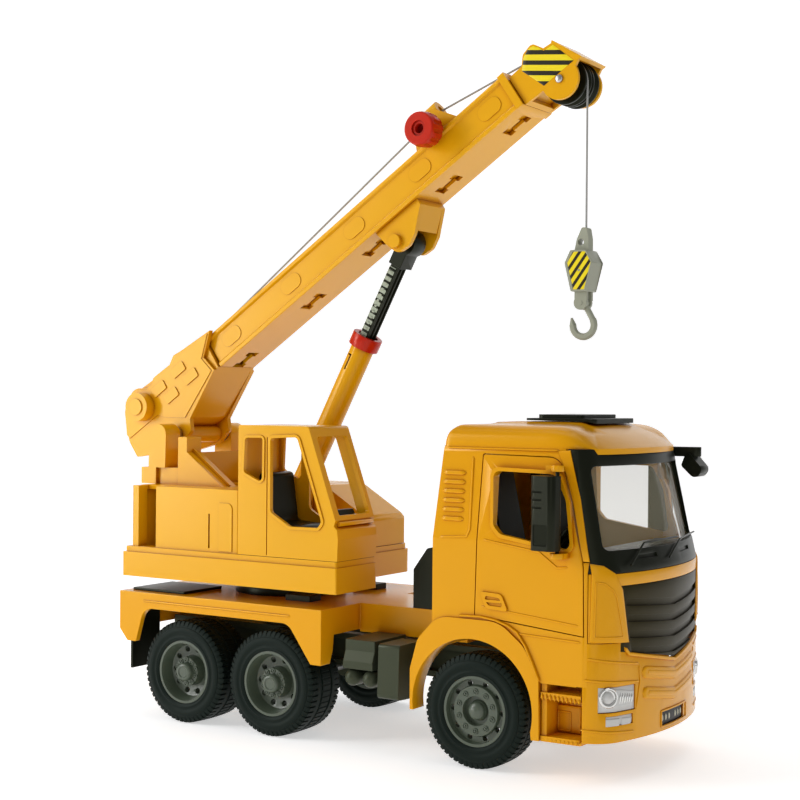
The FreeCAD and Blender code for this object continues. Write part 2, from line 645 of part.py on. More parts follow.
def door_mirror():
    """Black door mirror on a vertical pin between the two lugs."""
    shell = prism_z([(118.6, -68.0, 3), (131.5, -69.5, 3), (133.2, -62.0, 2), (121.0, -59.8, 2)], 105.2,
                    138.6)
    slots = [box(110.0, 126.0, -70.5, -67.2, z, z + 0.9) for z in (131.0, 127.5, 124.0)]
    pocket = prism_y([(121.5, 107.4, 1), (129.0, 107.4, 1), (129.0, 117.0, 1), (121.5, 117.0, 1)], -71.0,
                     -67.9)
    pin = rod_z(130.5, -62.0, 0.9, 101.8, 142.2)
    return fuse([cut(shell, slots + [pocket]), pin])


save("door_near", door())
save("door_far", mirrored(door()))
save("door_mirror_near", door_mirror())
save("door_mirror_far", mirrored(door_mirror()))
arm = prism_z([(131.0, 53.0, 1), (150.0, 56.5, 3), (150.5, 61.5, 2), (130.0, 57.5, 1)], 144.2, 149.0)
head = prism_y([(141.8, 139.6, 2), (145.0, 147.4, 2), (153.6, 138.0, 3), (149.6, 132.6, 3)], 53.0, 63.0)
save("front_mirror", fuse([arm, head]).cut(CAB_OUTSIDE))


def wiper(foot, elbow, tip):
    """Thin arm leaning up from its foot, and the blade lying along the bottom of the glass."""
    return fuse([rod_between(foot, elbow, 0.45), rod_between(elbow, tip, 0.45),
                 Part.makeSphere(0.45, Vector(*elbow))])


save("wipers", Part.makeCompound([wiper((156.6, -40.0, 98.6), (156.6, -26.0, 107.6), (158.1, 9.0, 107.9)),
                                  wiper((160.7, -6.0, 99.6), (158.9, 10.5, 106.8), (153.0, 43.0, 107.6))]))


# ---------------------------------------------------------------- slewing base and engine house
def turret_base():
    """Skirt with a stepped front, the rear house with its notch and slot, and the kingpin."""
    h = TURRET_HALF_Y
    plan = [(TURRET_REAR_X, -h, 1.2), (TURRET_FRONT_X, -h, 0.8), (TURRET_FRONT_X, -19.0, 0.8),
            (TURRET_FAR_FRONT_X, -19.0),
            (TURRET_FAR_FRONT_X, h, 5), (TURRET_REAR_X, h, 5)]
    skirt = prism_z(plan, SKIRT_BOTTOM_Z, SKIRT_TOP_Z)
    ledge = prism_z([(TURRET_REAR_X + 1.5, -h + 1, 1.2), (TURRET_FRONT_X - 0.6, -h + 1, 1),
                     (TURRET_FRONT_X - 0.6, -19.6, 1),
                     (TURRET_FAR_FRONT_X - 1.0, -19.6), (TURRET_FAR_FRONT_X - 1.0, h - 1, 5),
                     (TURRET_REAR_X + 1.5, h - 1, 5)], SKIRT_TOP_Z, 91.0)
    hw = HOUSE_HALF_Y
    house = prism_z([(-131.5, -hw, 1.5), (-57.8, -hw, 1), (-57.8, -18.0), (-100.0, -18.0), (-100.0, 12.0),
                     (-57.8, 12.0),
                     (-57.8, hw, 1), (-131.5, hw, 6)], 91.0, HOUSE_TOP_Z)
    hollow = prism_z([(-128.0, -46.0), (-60.0, -46.0), (-60.0, -22.0), (-104.0, -22.0), (-104.0, 16.0),
                      (-60.0, 16.0),
                      (-60.0, 48.0), (-128.0, 48.0)], 78.0, HOUSE_TOP_Z - 2.2)
    under = prism_z([(TURRET_REAR_X + 3, -h + 3), (TURRET_FRONT_X - 3, -h + 3), (TURRET_FRONT_X - 3, -22.0),
                     (TURRET_FAR_FRONT_X - 3, -22.0), (TURRET_FAR_FRONT_X - 3, h - 3),
                     (TURRET_REAR_X + 3, h - 3)],
                    SKIRT_BOTTOM_Z - 1, SKIRT_BOTTOM_Z + 3.0)
    notch = box(-126.7, -114.2, -hw - 1, -hw + 8.0, 91.2, HOUSE_TOP_Z + 1)
    slot = box(SLOT_X - 0.5, SLOT_X + 0.5, -hw - 1, -hw + 3.0, 93.0, 111.0)
    panel = prism_y([(PANEL_X, 92.0), (PANEL_X - 8.8, 92.0), (PANEL_X - 8.8, 117.0, 0.6),
                     (PANEL_X, 117.0, 3)], -hw - 0.5, -hw)
    kingpin = rod_z(SLEW_X, 0, 6.0, 50.5, 80.0)
    flange = rod_z(SLEW_X, 0, 28.0, 71.4, 76.0)
    lugs = [prism_y([(-70.0, 90.5), (-55.0, 90.5), (-57.0, 117.0, 4.5), (-68.0, 117.0, 4.5)], y - 1.2,
                    y + 1.2)
            for y in (-8.6, 8.6)]
    hub = rod_z(SLEW_X, 0, 30.0, 75.0, 91.0)
    body = fuse([skirt, ledge, house, panel, kingpin, flange, hub])
    body = cut(body, [hollow, notch, slot])
    under = under.cut(rod_z(SLEW_X, 0, 31.0, 70.0, 80.0))
    body = fuse([body.cut(under)] + lugs)
    return body.cut(rod_y(LIFT_BASE_X, LIFT_BASE_Z, LIFT_TRUNNION_R + 0.06, -12.0, 12.0))


save("turret_base", turret_base())


def boom_tower():
    """Near half of the boom tower: base block, rounded ear, second post and raking brace."""
    y0 = -34.5
    y1 = -22.5
    block = box(-141.5, -131.0, y0, y1, HOUSE_TOP_Z, 133.0)
    block = fuse([block, box(-131.5, -112.0, y0 + 2.0, y1 + 2.0, 124.0, 133.0)])
    ear = prism_y([(-136.4, 133.0), (-135.8, 157.0, 5.9), (-123.8, 157.0, 5.9), (-124.4, 133.0)], y0, y1)
    post = prism_y([(-115.0, 124.0), (-115.0, 150.2, 1), (-108.8, 150.2, 1), (-108.8, 142.0),
                    (-84.0, 124.0)], y0, y1)
    rib = prism_y([(-108.8, 142.0), (-108.8, 144.0), (-82.5, 124.8), (-84.0, 124.0)], y0 + 5.0, y0 + 6.5)
    return fuse([block, ear, post, rib])


TOWER_BORE = rod_y(PIVOT_X, PIVOT_Z, 2.5, -PIN_HALF_Y - 0.1, PIN_HALF_Y + 0.1)
CROSS_WALL = box(-112.0, -109.5, -23.0, 23.0, HOUSE_TOP_Z, 141.5)
save("boom_tower", fuse([boom_tower(), mirrored(boom_tower()), CROSS_WALL]).cut(TOWER_BORE))


# ---------------------------------------------------------------- crane operator's cab and engine cover
CAB_ROOF_FRONT_X = -13.0
CAB_WINDOW = [(-36.4, 151.6, 1.5), (-19.6, 152.4, 2.5), (-4.2, 110.5, 2), (-6.4, 107.4, 2),
              (-24.0, 107.2, 3), (-36.2, 114.0, 3)]
CAB_REAR_WINDOW = [(-52.8, 151.5, 1.5), (-41.4, 151.7, 1.5), (-41.6, 128.6, 2), (-53.6, 133.8, 2)]


def crane_cab():
    """Open-window cab shell: raked front, rounded sill above a square nose."""
    y0 = -HOUSE_HALF_Y - 0.8
    y1 = CRANE_CAB_INNER_Y
    front = [(CRANE_CAB_REAR_X, 91.2), (CRANE_CAB_REAR_X, CRANE_CAB_ROOF_Z, 1.5),
             (CAB_ROOF_FRONT_X, CRANE_CAB_ROOF_Z, 2),
             (4.0, 111.5), (3.0, 108.6, 1), (5.0, 106.8, 1.5), (5.6, 102.3, 1), (5.2, 91.2)]
    shell = prism_y(front, y0, y1)
    t = CRANE_CAB_WALL
    inside = prism_y([(CRANE_CAB_REAR_X + t, 93.0), (CRANE_CAB_REAR_X + t, CRANE_CAB_ROOF_Z - t),
                      (CAB_ROOF_FRONT_X - t, CRANE_CAB_ROOF_Z - t), (2.4, 109.5),
                      (2.4, 93.0)], y0 + t, y1 - t)
    side_window = prism_y(CAB_WINDOW, y0 - 2, y0 + t + 1)
    far_window = prism_y(CAB_WINDOW, y1 - t - 1, y1 + 2)
    rear_window = prism_y(CAB_REAR_WINDOW, y0 - 2, y0 + t + 1)
    far_rear = prism_y(CAB_REAR_WINDOW, y1 - t - 1, y1 + 2)
    front_window = prism_x([(y0 + 4.5, 113.6, 1.5), (y0 + 4.5, 152.8, 2), (y1 - 3.0, 152.8, 2),
                            (y1 - 3.0, 113.6, 1.5)],
                           -20.0, 20.0)
    bar = rod_between((4.3, y0 + 2.5, 109.6), (4.3, y1 - 2.5, 109.6), 1.1)
    groove = box(-39.0, -38.4, y0 - 1, y0 + 0.5, 92.0, 152.0)
    lips = []
    for hole, grow in ((CAB_WINDOW, 1.5), (CAB_REAR_WINDOW, 1.3)):
        edge = face_of(hole).makeOffset2D(grow)
        lip = Part.Face(edge.Wires[0]) if not edge.Faces else edge
        lip.rotate(Vector(0, 0, 0), Vector(1, 0, 0), 90)
        lip.translate(Vector(0, y0 + 0.4, 0))
        lips.append(lip.extrude(Vector(0, -1.0, 0)))
    body = fuse([cut(shell, [inside, groove]), bar] + lips)
    body = cut(body, [side_window, far_window, rear_window, far_rear, front_window])
    return body


def crane_seat():
    """Operator's seat with its floor console and lever."""
    y = -36.0
    seat = prism_y([(-49.0, 95.0), (-49.0, 134.0, 2.5), (-43.5, 133.0, 2.5), (-40.0, 108.0, 3),
                    (-24.0, 107.0, 3),
                    (-23.0, 101.0, 2), (-27.0, 93.0), (-49.0, 93.0)], y - 11.0, y + 11.0)
    console = prism_y([(-12.0, 93.0), (-12.0, 115.0, 1), (-3.0, 116.0, 1), (0.5, 108.0), (0.5, 93.0)],
                      y - 8.0, y + 8.0)
    lever = rod_between((-8.0, y - 6.0, 114.0), (-10.0, y - 6.0, 120.0), 0.9)
    return Part.makeCompound([seat, fuse([console, lever])])


def engine_cover():
    """Sloping cover on the far side with open underside."""
    profile = [(-57.5, 91.2), (-57.5, HOUSE_TOP_Z, 1), (-50.0, HOUSE_TOP_Z, 4), (-24.0, 108.4, 3),
               (-21.6, 106.0, 2), (-21.6, 91.2)]
    cover = prism_y(profile, 13.0, 50.0)
    inner = prism_y([(-55.5, 90.0), (-55.5, 121.8), (-51.0, 121.8), (-25.0, 106.0), (-23.6, 104.5),
                     (-23.6, 90.0)], 15.0, 48.0)
    return cover.cut(inner)


save("crane_cab", crane_cab())
save("crane_seat", crane_seat())
save("engine_cover", engine_cover())


# ---------------------------------------------------------------- boom: pivot, heel, box section, collar
def pivot_barrel():
    """Steel pin through the heel, blind in both ears, with a spacer either side of the heel."""
    pin = rod_y(PIVOT_X, PIVOT_Z, 2.4, -PIN_HALF_Y, PIN_HALF_Y)
    spacers = [rod_y(PIVOT_X, PIVOT_Z, PIVOT_R, -22.4, -18.4), rod_y(PIVOT_X, PIVOT_Z, PIVOT_R, 18.4, 22.4)]
    return fuse([pin] + spacers)


save("pivot_barrel", pivot_barrel())


def boom_heel():
    """Two shaped cheeks with a web between them, raised pads and a big round boss."""
    cheek = [(-32.2, 5.5, 1), (-32.6, 16.0, 10), (-26.0, 33.0, 9), (-13.0, 40.0, 8), (-4.5, 34.2),
             (0.0, 34.2), (2.5, 36.5, 4),
             (17.0, 35.8), (22.0, 38.6, 1.5), (28.0, 37.6), (51.5, 35.2), (39.5, 25.3), (42.0, 15.2),
             (12.5, 2.2), (9.5, -4.0, 4),
             (0.0, -6.0, 5), (-8.0, -4.0, 3), (-25.0, 2.0)]
    near = prism_y(cheek, -HEEL_HALF_Y, -HEEL_HALF_Y + 3.0)
    web_outline = [(-28.0, 6.0), (-29.0, 16.0), (-24.0, 31.5), (-12.0, 37.5), (20.0, 35.0), (44.0, 34.8),
                   (44.0, 16.0),
                   (12.0, 3.4), (-24.0, 3.4)]
    web = prism_y(web_outline, -HEEL_HALF_Y + 2.0, HEEL_HALF_Y - 2.0)
    core = prism_y([(-24.0, 8.0), (-21.0, 28.0), (20.0, 32.6), (47.0, 32.6), (47.0, 17.8), (11.0, 7.0)],
                   -13.0, 13.0)
    web = web.cut(core)
    facing = prism_y([(-31.0, 17.3), (-6.0, 17.0), (-2.0, 13.0, 3), (10.2, 4.6), (40.4, 15.8),
                      (38.2, 25.3), (49.4, 34.6),
                      (28.0, 36.7), (22.0, 37.7), (17.0, 34.9), (2.5, 35.5), (0.0, 33.3), (-4.5, 33.3),
                      (-13.0, 39.1, 8),
                      (-25.4, 32.3, 9), (-31.6, 20.0)], -HEEL_HALF_Y - 0.5, -HEEL_HALF_Y + 0.2)
    boss = rod_y(BOSS_S, BOSS_N, 8.0, -HEEL_HALF_Y - 7.0, -HEEL_HALF_Y + 1.0)
    cap = rod_y(BOSS_S, BOSS_N, 4.6, -HEEL_HALF_Y - 7.8, -HEEL_HALF_Y - 6.0)
    pads = []
    for s, n in ((21.0, 29.5), (26.5, 21.3), (3.5, 28.5), (9.0, 20.3)):
        pads.append(prism_y([(s - 5.2, n - 2.8, 1), (s + 5.2, n - 2.8, 1), (s + 5.2, n + 2.8, 1),
                             (s - 5.2, n + 2.8, 1)],
                            -HEEL_HALF_Y - 1.2, -HEEL_HALF_Y + 0.5))
    sides = [near, facing, boss, cap] + pads
    heel = fuse(sides + [mirrored(s) for s in sides] + [web])
    pivot_lug = rod_y(0, 0, 4.8, -HEEL_HALF_Y, HEEL_HALF_Y)
    return fuse([heel, pivot_lug]).cut(rod_y(0, 0, 2.45, -30.0, 30.0))


save("boom_heel", boom_place(boom_heel()))


def boom_outer():
    """Outer boom: thin box with a flange along each corner, oval pads and slots underneath."""
    hw = BOOM_HALF_Y
    section = [(-hw, BOOM_BOTTOM, 0.4), (-hw, BOOM_BOTTOM + 2.2, 0.4), (-hw + 1.2, BOOM_BOTTOM + 3.2),
               (-hw + 1.2, BOOM_TOP - 3.0), (-hw, BOOM_TOP - 2.0, 0.4), (-hw, BOOM_TOP, 0.8),
               (hw, BOOM_TOP, 0.8),
               (hw, BOOM_TOP - 2.0, 0.4), (hw - 1.2, BOOM_TOP - 3.0), (hw - 1.2, BOOM_BOTTOM + 3.2),
               (hw, BOOM_BOTTOM + 2.2, 0.4), (hw, BOOM_BOTTOM, 0.4)]
    tube = prism_x(section, BOOM_START + 3.4, BOOM_END)
    bore = box(BOOM_START, BOOM_END + 5, -hw + 2.9, hw - 2.9, BOOM_BOTTOM + 1.7, BOOM_TOP - 1.9)
    ovals = []
    for s in (60.0, 108.9, 158.4, 207.0, 255.6):
        pad = prism_y([(s - 7.0, 21.5, 4), (s + 7.0, 21.5, 4), (s + 7.0, 29.7, 4), (s - 7.0, 29.7, 4)],
                      -hw + 0.8, -hw + 1.4)
        ovals += [pad, mirrored(pad)]
    slots = []
    for s in (52.0, 108.0, 156.5, 211.0, 258.5):
        bar = box(s - 6.0, s + 6.0, -2.2, 2.2, BOOM_BOTTOM - 1, BOOM_BOTTOM + 3)
        ends = [box(s - 7.0, s - 3.5, -4.6, 4.6, BOOM_BOTTOM - 1, BOOM_BOTTOM + 3),
                box(s + 3.5, s + 7.0, -4.6, 4.6, BOOM_BOTTOM - 1, BOOM_BOTTOM + 3)]
        slots += [bar] + ends
    slots.append(box(WINCH_S - 7.0, WINCH_S + 7.0, -10.5, 10.5, BOOM_TOP - 2.6, BOOM_TOP + 1.0))
    collar = prism_x([(-hw - 0.8, BOOM_BOTTOM - 0.6, 0.6), (-hw - 0.8, BOOM_TOP + 0.6, 0.6),
                      (hw + 0.8, BOOM_TOP + 0.6, 0.6),
                      (hw + 0.8, BOOM_BOTTOM - 0.6, 0.6)], BOOM_END - 1.0, BOOM_END + 3.0)
    return cut(fuse([tube, collar] + ovals), [bore] + slots)


save("boom_outer", boom_place(boom_outer()))


def lift_bracket():
    """Clevis under the boom that takes the lift cylinder's rod, with its capped pin."""
    cheek = prism_y([(167.0, 15.4), (169.0, 7.0, 4), (172.0, -1.0, 5), (180.0, -1.6, 5), (186.0, 1.5),
                     (197.0, 12.0), (197.0, 15.4)],
                    -12.5, -9.8)
    front = prism_y([(195.0, 15.4), (185.4, 5.5), (186.9, 3.0), (197.0, 12.0), (197.0, 15.4)], -12.5, 12.5)
    pin = rod_y(LIFT_S, LIFT_N, 2.3, -12.5, 12.5)
    cap = rod_y(LIFT_S, LIFT_N, 3.4, -14.8, -12.4)
    return fuse([cheek, mirrored(cheek), front, pin, cap, mirrored(cap)])


save("lift_bracket", boom_place(lift_bracket()))


# ---------------------------------------------------------------- winch
def winch_bracket():
    """Two cheeks on the boom's top that carry the drum, with a rope eye and a ramp in front."""
    top = BOOM_TOP + 0.1
    cheek_profile = [(209.5, top), (214.0, 44.5, 3), (218.0, 49.0, 2), (228.0, 49.0, 1.5),
                     (232.8, 43.6, 1), (239.0, top)]
    cheeks = [prism_y(cheek_profile, -12.0, -9.6), prism_y(cheek_profile, 9.6, 12.0)]
    eye = rod_between((217.0, 0, ROPE_EYE_N + 0.9), (228.6, 0, ROPE_EYE_N + 0.9), 5.0)
    ramp = prism_y([(229.4, 45.4), (230.6, 46.4), (232.8, 43.6), (239.0, top), (236.8, top)], -12.0, 12.0)
    bridge = box(217.5, 228.0, -12.0, 12.0, 45.0, 47.5)
    body = fuse(cheeks + [eye, ramp, bridge])
    drum_bore = rod_y(WINCH_S, WINCH_N, WINCH_SHAFT_R + 0.1, -20.0, 20.0)
    eye_hole = rod_between((205.0, 0, ROPE_EYE_N + 0.9), (250.0, 0, ROPE_EYE_N + 0.9), 2.2)
    return cut(body, [drum_bore, eye_hole])


def winch_knob():
    """Red fluted knob with its shaft and rope drum."""
    s = WINCH_S
    n = WINCH_N
    body = turned_y([(0.0, -28.0), (8.2, -28.0, 0.6), (9.0, -24.0, 4), (8.6, -17.6, 0.6), (0.0, -17.6)], 0, 0)
    body.translate(Vector(s, 0, n))
    flutes = []
    for i in range(12):
        a = 2 * math.pi * (i + 0.5) / 12
        flutes.append(rod_y(s + 9.6 * math.cos(a), n + 9.6 * math.sin(a), 1.5, -26.2, -15.0))
    recess = rod_y(s, n, 3.9, -29.0, -27.0)
    hole = rod_y(s, n, 2.5, -29.0, -23.0)
    knob = cut(body, flutes + [recess, hole])
    shaft = rod_y(s, n, WINCH_SHAFT_R, -18.0, 13.2)
    drum = fuse([rod_y(s, n, 3.2, -8.8, 8.8), rod_y(s, n, 4.4, -9.0, -8.0), rod_y(s, n, 4.4, 8.0, 9.0)])
    return fuse([knob, shaft, drum])


save("winch_bracket", boom_place(winch_bracket()))
save("winch_knob", boom_place(winch_knob()))


# ---------------------------------------------------------------- telescopic section and head
def jib_section():
    hw = JIB_HALF_Y
    tube = box(70.0, 282.0, -hw, hw, JIB_BOTTOM, JIB_TOP)
    bore = box(68.0, 290.0, -hw + 1.6, hw - 1.6, JIB_BOTTOM + 1.6, JIB_TOP - 1.6)
    return tube.cut(bore)


def jib_head():
    """Two heart-shaped cheeks, the sloping top cover, the sheave pin and a rope guide pin."""
    rear = BOOM_END + 3.4
    cheek_profile = [(rear, 14.6), (rear, 31.4), (281.0, 31.6), (284.6, 36.0, 2.5), (291.4, 37.4, 3),
                     (295.0, 31.2), (300.4, 30.4),
                     (307.2, 15.0), (303.4, 13.0)]
    plate = prism_y(cheek_profile, -13.6, -11.7)
    disc = rod_y(SHEAVE_S, SHEAVE_N, 10.0, -13.6, -11.7)
    cheek = fuse([plate, disc])
    cover = prism_y([(299.0, 30.0), (300.6, 31.6), (308.6, 14.4), (306.4, 14.4)], -13.6, 13.6)
    floor = box(rear, rear + 3.0, -11.8, 11.8, 14.6, JIB_BOTTOM)
    sheave_pin = rod_y(SHEAVE_S, SHEAVE_N, 1.6, -14.2, 14.2)
    guide = rod_y(288.5, 33.4, 1.8, -12.0, 12.0)
    return fuse([cheek, mirrored(cheek), cover, floor, sheave_pin, guide])


def sheave(y):
    return turned_y([(1.7, y - 3.4), (SHEAVE_R, y - 3.4, 0.4), (SHEAVE_R, y - 2.2), (GROOVE_R, y - 0.7),
                     (GROOVE_R, y + 0.7),
                     (SHEAVE_R, y + 2.2), (SHEAVE_R, y + 3.4, 0.4), (1.7, y + 3.4)], 0, 0)


save("jib_section", boom_place(jib_section()))
save("jib_head", boom_place(jib_head()))
pair = fuse([sheave(-SHEAVE_Y), sheave(SHEAVE_Y)])
pair = pair.cut(rod_y(0, 0, 1.68, -20, 20))
pair.translate(Vector(SHEAVE_S, 0, SHEAVE_N))
save("sheaves", boom_place(pair))


# ---------------------------------------------------------------- lift cylinder
def lift_place(shape):
    """Carry a shape drawn with its axis along +Z from the base pin to the cylinder's rest angle."""
    top = boom_point(LIFT_S, LIFT_N)
    tilt = math.degrees(math.atan2(top[0] - LIFT_BASE_X, top[2] - LIFT_BASE_Z))
    shape = shape.copy()
    shape.rotate(Vector(0, 0, 0), Vector(0, 1, 0), tilt)
    shape.translate(Vector(LIFT_BASE_X, 0, LIFT_BASE_Z))
    return shape


LIFT_TOP = boom_point(LIFT_S, LIFT_N)
LIFT_LENGTH = math.hypot(LIFT_TOP[0] - LIFT_BASE_X, LIFT_TOP[2] - LIFT_BASE_Z)
COLLAR_Z = LIFT_LENGTH - 61.0


def lift_tube():
    tube = rod_z(0, 0, LIFT_TUBE_R, 5.0, COLLAR_Z + 2.0)
    bore = rod_z(0, 0, LIFT_BORE_R, 9.0, COLLAR_Z + 5.0)
    foot = fuse([rod_y(0, 0, 5.0, -6.0, 6.0), box(-4.5, 4.5, -6.0, 6.0, 0.0, 7.0)])
    latch = [box(-7.0, -1.0, -8.0, -4.0, COLLAR_Z - 6.0, COLLAR_Z - 5.0),
             box(-2.0, -1.0, -8.0, -4.0, COLLAR_Z - 14.0, COLLAR_Z - 5.0)]
    body = cut(fuse([tube, foot]), [bore] + latch)
    trunnion = rod_y(0, 0, LIFT_TRUNNION_R, -9.8, 9.8)
    return fuse([body, trunnion])


def lift_collar():
    ring = rod_z(0, 0, 8.2, COLLAR_Z, COLLAR_Z + 7.0)
    ring = ring.cut(rod_z(0, 0, LIFT_TUBE_R, COLLAR_Z - 1.0, COLLAR_Z + 2.0))
    return ring.cut(rod_z(0, 0, LIFT_BORE_R, COLLAR_Z - 1.0, COLLAR_Z + 8.0))


def lift_rod():
    """Toothed square rod: ratchet teeth on the near face, two channels on the front face."""
    low = COLLAR_Z - 46.0
    bar = box(-2.8, 2.8, -3.6, 3.6, low, LIFT_LENGTH - 6.0)
    channels = [box(2.0, 4.0, -2.6, -0.6, low + 6, LIFT_LENGTH - 14.0),
                box(2.0, 4.0, 0.6, 2.6, low + 6, LIFT_LENGTH - 14.0)]
    bar = cut(bar, channels)
    teeth = []
    count = int((LIFT_LENGTH - 16.0 - low) / 3.6)
    for i in range(count):
        z = low + 4.0 + i * 3.6
        teeth.append(prism_x([(-3.6, z), (-4.3, z + 0.5), (-4.3, z + 1.3), (-3.6, z + 1.8)], -2.6, 1.4))
    head = fuse([box(-3.4, 4.6, -5.6, 5.6, LIFT_LENGTH - 13.0, LIFT_LENGTH - 5.0),
                 rod_y(0, LIFT_LENGTH, 7.0, -5.6, 5.6)])
    return cut(fuse([bar, head] + teeth), [rod_y(0, LIFT_LENGTH, 4.1, -10.0, 10.0)])


save("lift_tube", lift_place(lift_tube()))
save("lift_collar", lift_place(lift_collar()))
save("lift_rod", lift_place(lift_rod()))


# ---------------------------------------------------------------- hook block and hook
SHEAVE_X, _, SHEAVE_Z = boom_point(SHEAVE_S, SHEAVE_N)
FALL_X = SHEAVE_X + GROOVE_R + ROPE_R + 0.2
BLOCK_Y = -SHEAVE_Y


def hook_block():
    """Hexagonal weight with a lug on top, a short clevis below and raised striped panels."""
    x = FALL_X - 1.4
    mid = 238.5
    body = prism_y([(x - 4.2, BLOCK_TOP_Z, 0.8), (x + 4.2, BLOCK_TOP_Z, 0.8), (x + 7.2, mid, 0.8),
                    (x + 3.8, BLOCK_BOTTOM_Z, 0.8),
                    (x - 3.8, BLOCK_BOTTOM_Z, 0.8), (x - 7.2, mid, 0.8)], BLOCK_Y - 6.0, BLOCK_Y + 6.0)
    lug = prism_y([(x - 3.8, BLOCK_TOP_Z - 1), (x - 2.4, 250.0), (x + 0.2, 255.6, 1.0),
                   (x + 2.8, 255.6, 1.0), (x + 3.8, 250.0), (x + 3.8, BLOCK_TOP_Z - 1)],
                  BLOCK_Y - 2.6, BLOCK_Y + 2.6)
    lug = lug.cut(rod_y(x - 0.2, 248.6, 1.6, BLOCK_Y - 5, BLOCK_Y + 5))
    clevis = [box(x - 3.0, x + 3.6, BLOCK_Y - 3.4, BLOCK_Y - 1.7, HOOK_PIN_Z + 1.0, BLOCK_BOTTOM_Z + 1),
              box(x - 3.0, x + 3.6, BLOCK_Y + 1.7, BLOCK_Y + 3.4, HOOK_PIN_Z + 1.0, BLOCK_BOTTOM_Z + 1)]
    eyes = [rod_y(x, HOOK_PIN_Z, 3.4, BLOCK_Y - 3.4, BLOCK_Y - 1.7),
            rod_y(x, HOOK_PIN_Z, 3.4, BLOCK_Y + 1.7, BLOCK_Y + 3.4)]
    pin = rod_y(x, HOOK_PIN_Z, 1.2, BLOCK_Y - 3.7, BLOCK_Y + 3.7)
    return fuse([body, lug, pin] + clevis + eyes)


def hook():
    """Round-section crane hook swept along its bowl and hung from the clevis pin."""
    x = FALL_X - 1.4
    bowl_x = x + 0.3
    bowl_z = 208.6
    r = 5.6
    shank = rod_between((x + 1.2, BLOCK_Y, HOOK_PIN_Z - 1.0),
                        (bowl_x + r * math.cos(math.radians(28)), BLOCK_Y,
                         bowl_z + r * math.sin(math.radians(28))), 1.5)
    ring = Part.makeTorus(r, 1.7, Vector(bowl_x, BLOCK_Y, bowl_z), Vector(0, 1, 0))
    keep = prism_y([(bowl_x, bowl_z), (bowl_x + 20, bowl_z + 10.6), (bowl_x + 20, bowl_z - 20),
                    (bowl_x - 20, bowl_z - 20), (bowl_x - 20, bowl_z + 1.0)],
                   BLOCK_Y - 5, BLOCK_Y + 5)
    bowl = ring.common(keep)
    tip = Part.makeCone(1.7, 0.5, 3.6, Vector(bowl_x - r, BLOCK_Y, bowl_z + 0.1), Vector(-0.22, 0, 1))
    eye = rod_y(x, HOOK_PIN_Z, 2.8, BLOCK_Y - 1.4,
                BLOCK_Y + 1.4).cut(rod_y(x, HOOK_PIN_Z, 1.28, BLOCK_Y - 5, BLOCK_Y + 5))
    shank = shank.cut(rod_y(x, HOOK_PIN_Z, 1.28, BLOCK_Y - 5, BLOCK_Y + 5))
    return fuse([bowl, tip, shank, eye]).common(box(x - 20, x + 20, BLOCK_Y - 1.5, BLOCK_Y + 1.5, 190, 230))


save("hook_block", hook_block())
save("hook", hook())


# ---------------------------------------------------------------- rope
def rope_run(name, a, b):
    save(name, rod_between(a, b, ROPE_R))


rope_run("rope_fall", (FALL_X, BLOCK_Y, SHEAVE_Z), (FALL_X, BLOCK_Y, 255.7))
rope_run("rope_rear", boom_point(24.0, 39.4), boom_point(216.8, ROPE_EYE_N))
rope_run("rope_run", boom_point(228.8, ROPE_EYE_N), boom_point(287.8, 36.0))
print("nodes", len([f for f in os.listdir("parts") if f.endswith(".step")]))
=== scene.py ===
"""Looks of the toy truck crane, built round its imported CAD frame.  Metres, +X the truck's nose, +Z up."""
import json
import math

import bpy
import numpy as np
from mathutils import Matrix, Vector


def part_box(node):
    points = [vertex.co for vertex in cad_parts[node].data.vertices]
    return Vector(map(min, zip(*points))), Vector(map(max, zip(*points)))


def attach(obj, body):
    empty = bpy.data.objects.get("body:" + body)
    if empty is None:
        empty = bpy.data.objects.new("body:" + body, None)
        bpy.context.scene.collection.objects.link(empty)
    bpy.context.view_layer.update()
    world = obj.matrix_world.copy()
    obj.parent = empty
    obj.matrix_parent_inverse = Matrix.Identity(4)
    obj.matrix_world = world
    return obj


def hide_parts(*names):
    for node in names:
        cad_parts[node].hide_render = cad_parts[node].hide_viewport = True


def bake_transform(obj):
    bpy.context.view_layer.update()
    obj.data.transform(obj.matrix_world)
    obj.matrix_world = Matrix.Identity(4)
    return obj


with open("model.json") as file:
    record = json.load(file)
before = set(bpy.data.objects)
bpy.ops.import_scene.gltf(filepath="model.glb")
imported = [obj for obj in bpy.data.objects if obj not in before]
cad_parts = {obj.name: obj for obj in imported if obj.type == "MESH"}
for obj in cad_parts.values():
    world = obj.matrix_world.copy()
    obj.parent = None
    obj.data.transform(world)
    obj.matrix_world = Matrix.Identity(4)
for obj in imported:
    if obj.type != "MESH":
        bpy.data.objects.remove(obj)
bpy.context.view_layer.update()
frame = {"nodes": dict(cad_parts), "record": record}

# ---------------------------------------------------------------- drawing stations
# Sizes below are in millimetres on the drawing's own stations, which the part's drawing counts from a line
# on the ground; the frame's origin lies a little behind it, so a length along X is shifted once here.
MM = 0.001
STATION = np.array([4.25, 0.0, 0.0])


def at(points):
    """Drawing stations in millimetres, one point or an array of them, to places in the frame in metres."""
    return (np.asarray(points, float) + STATION) * MM


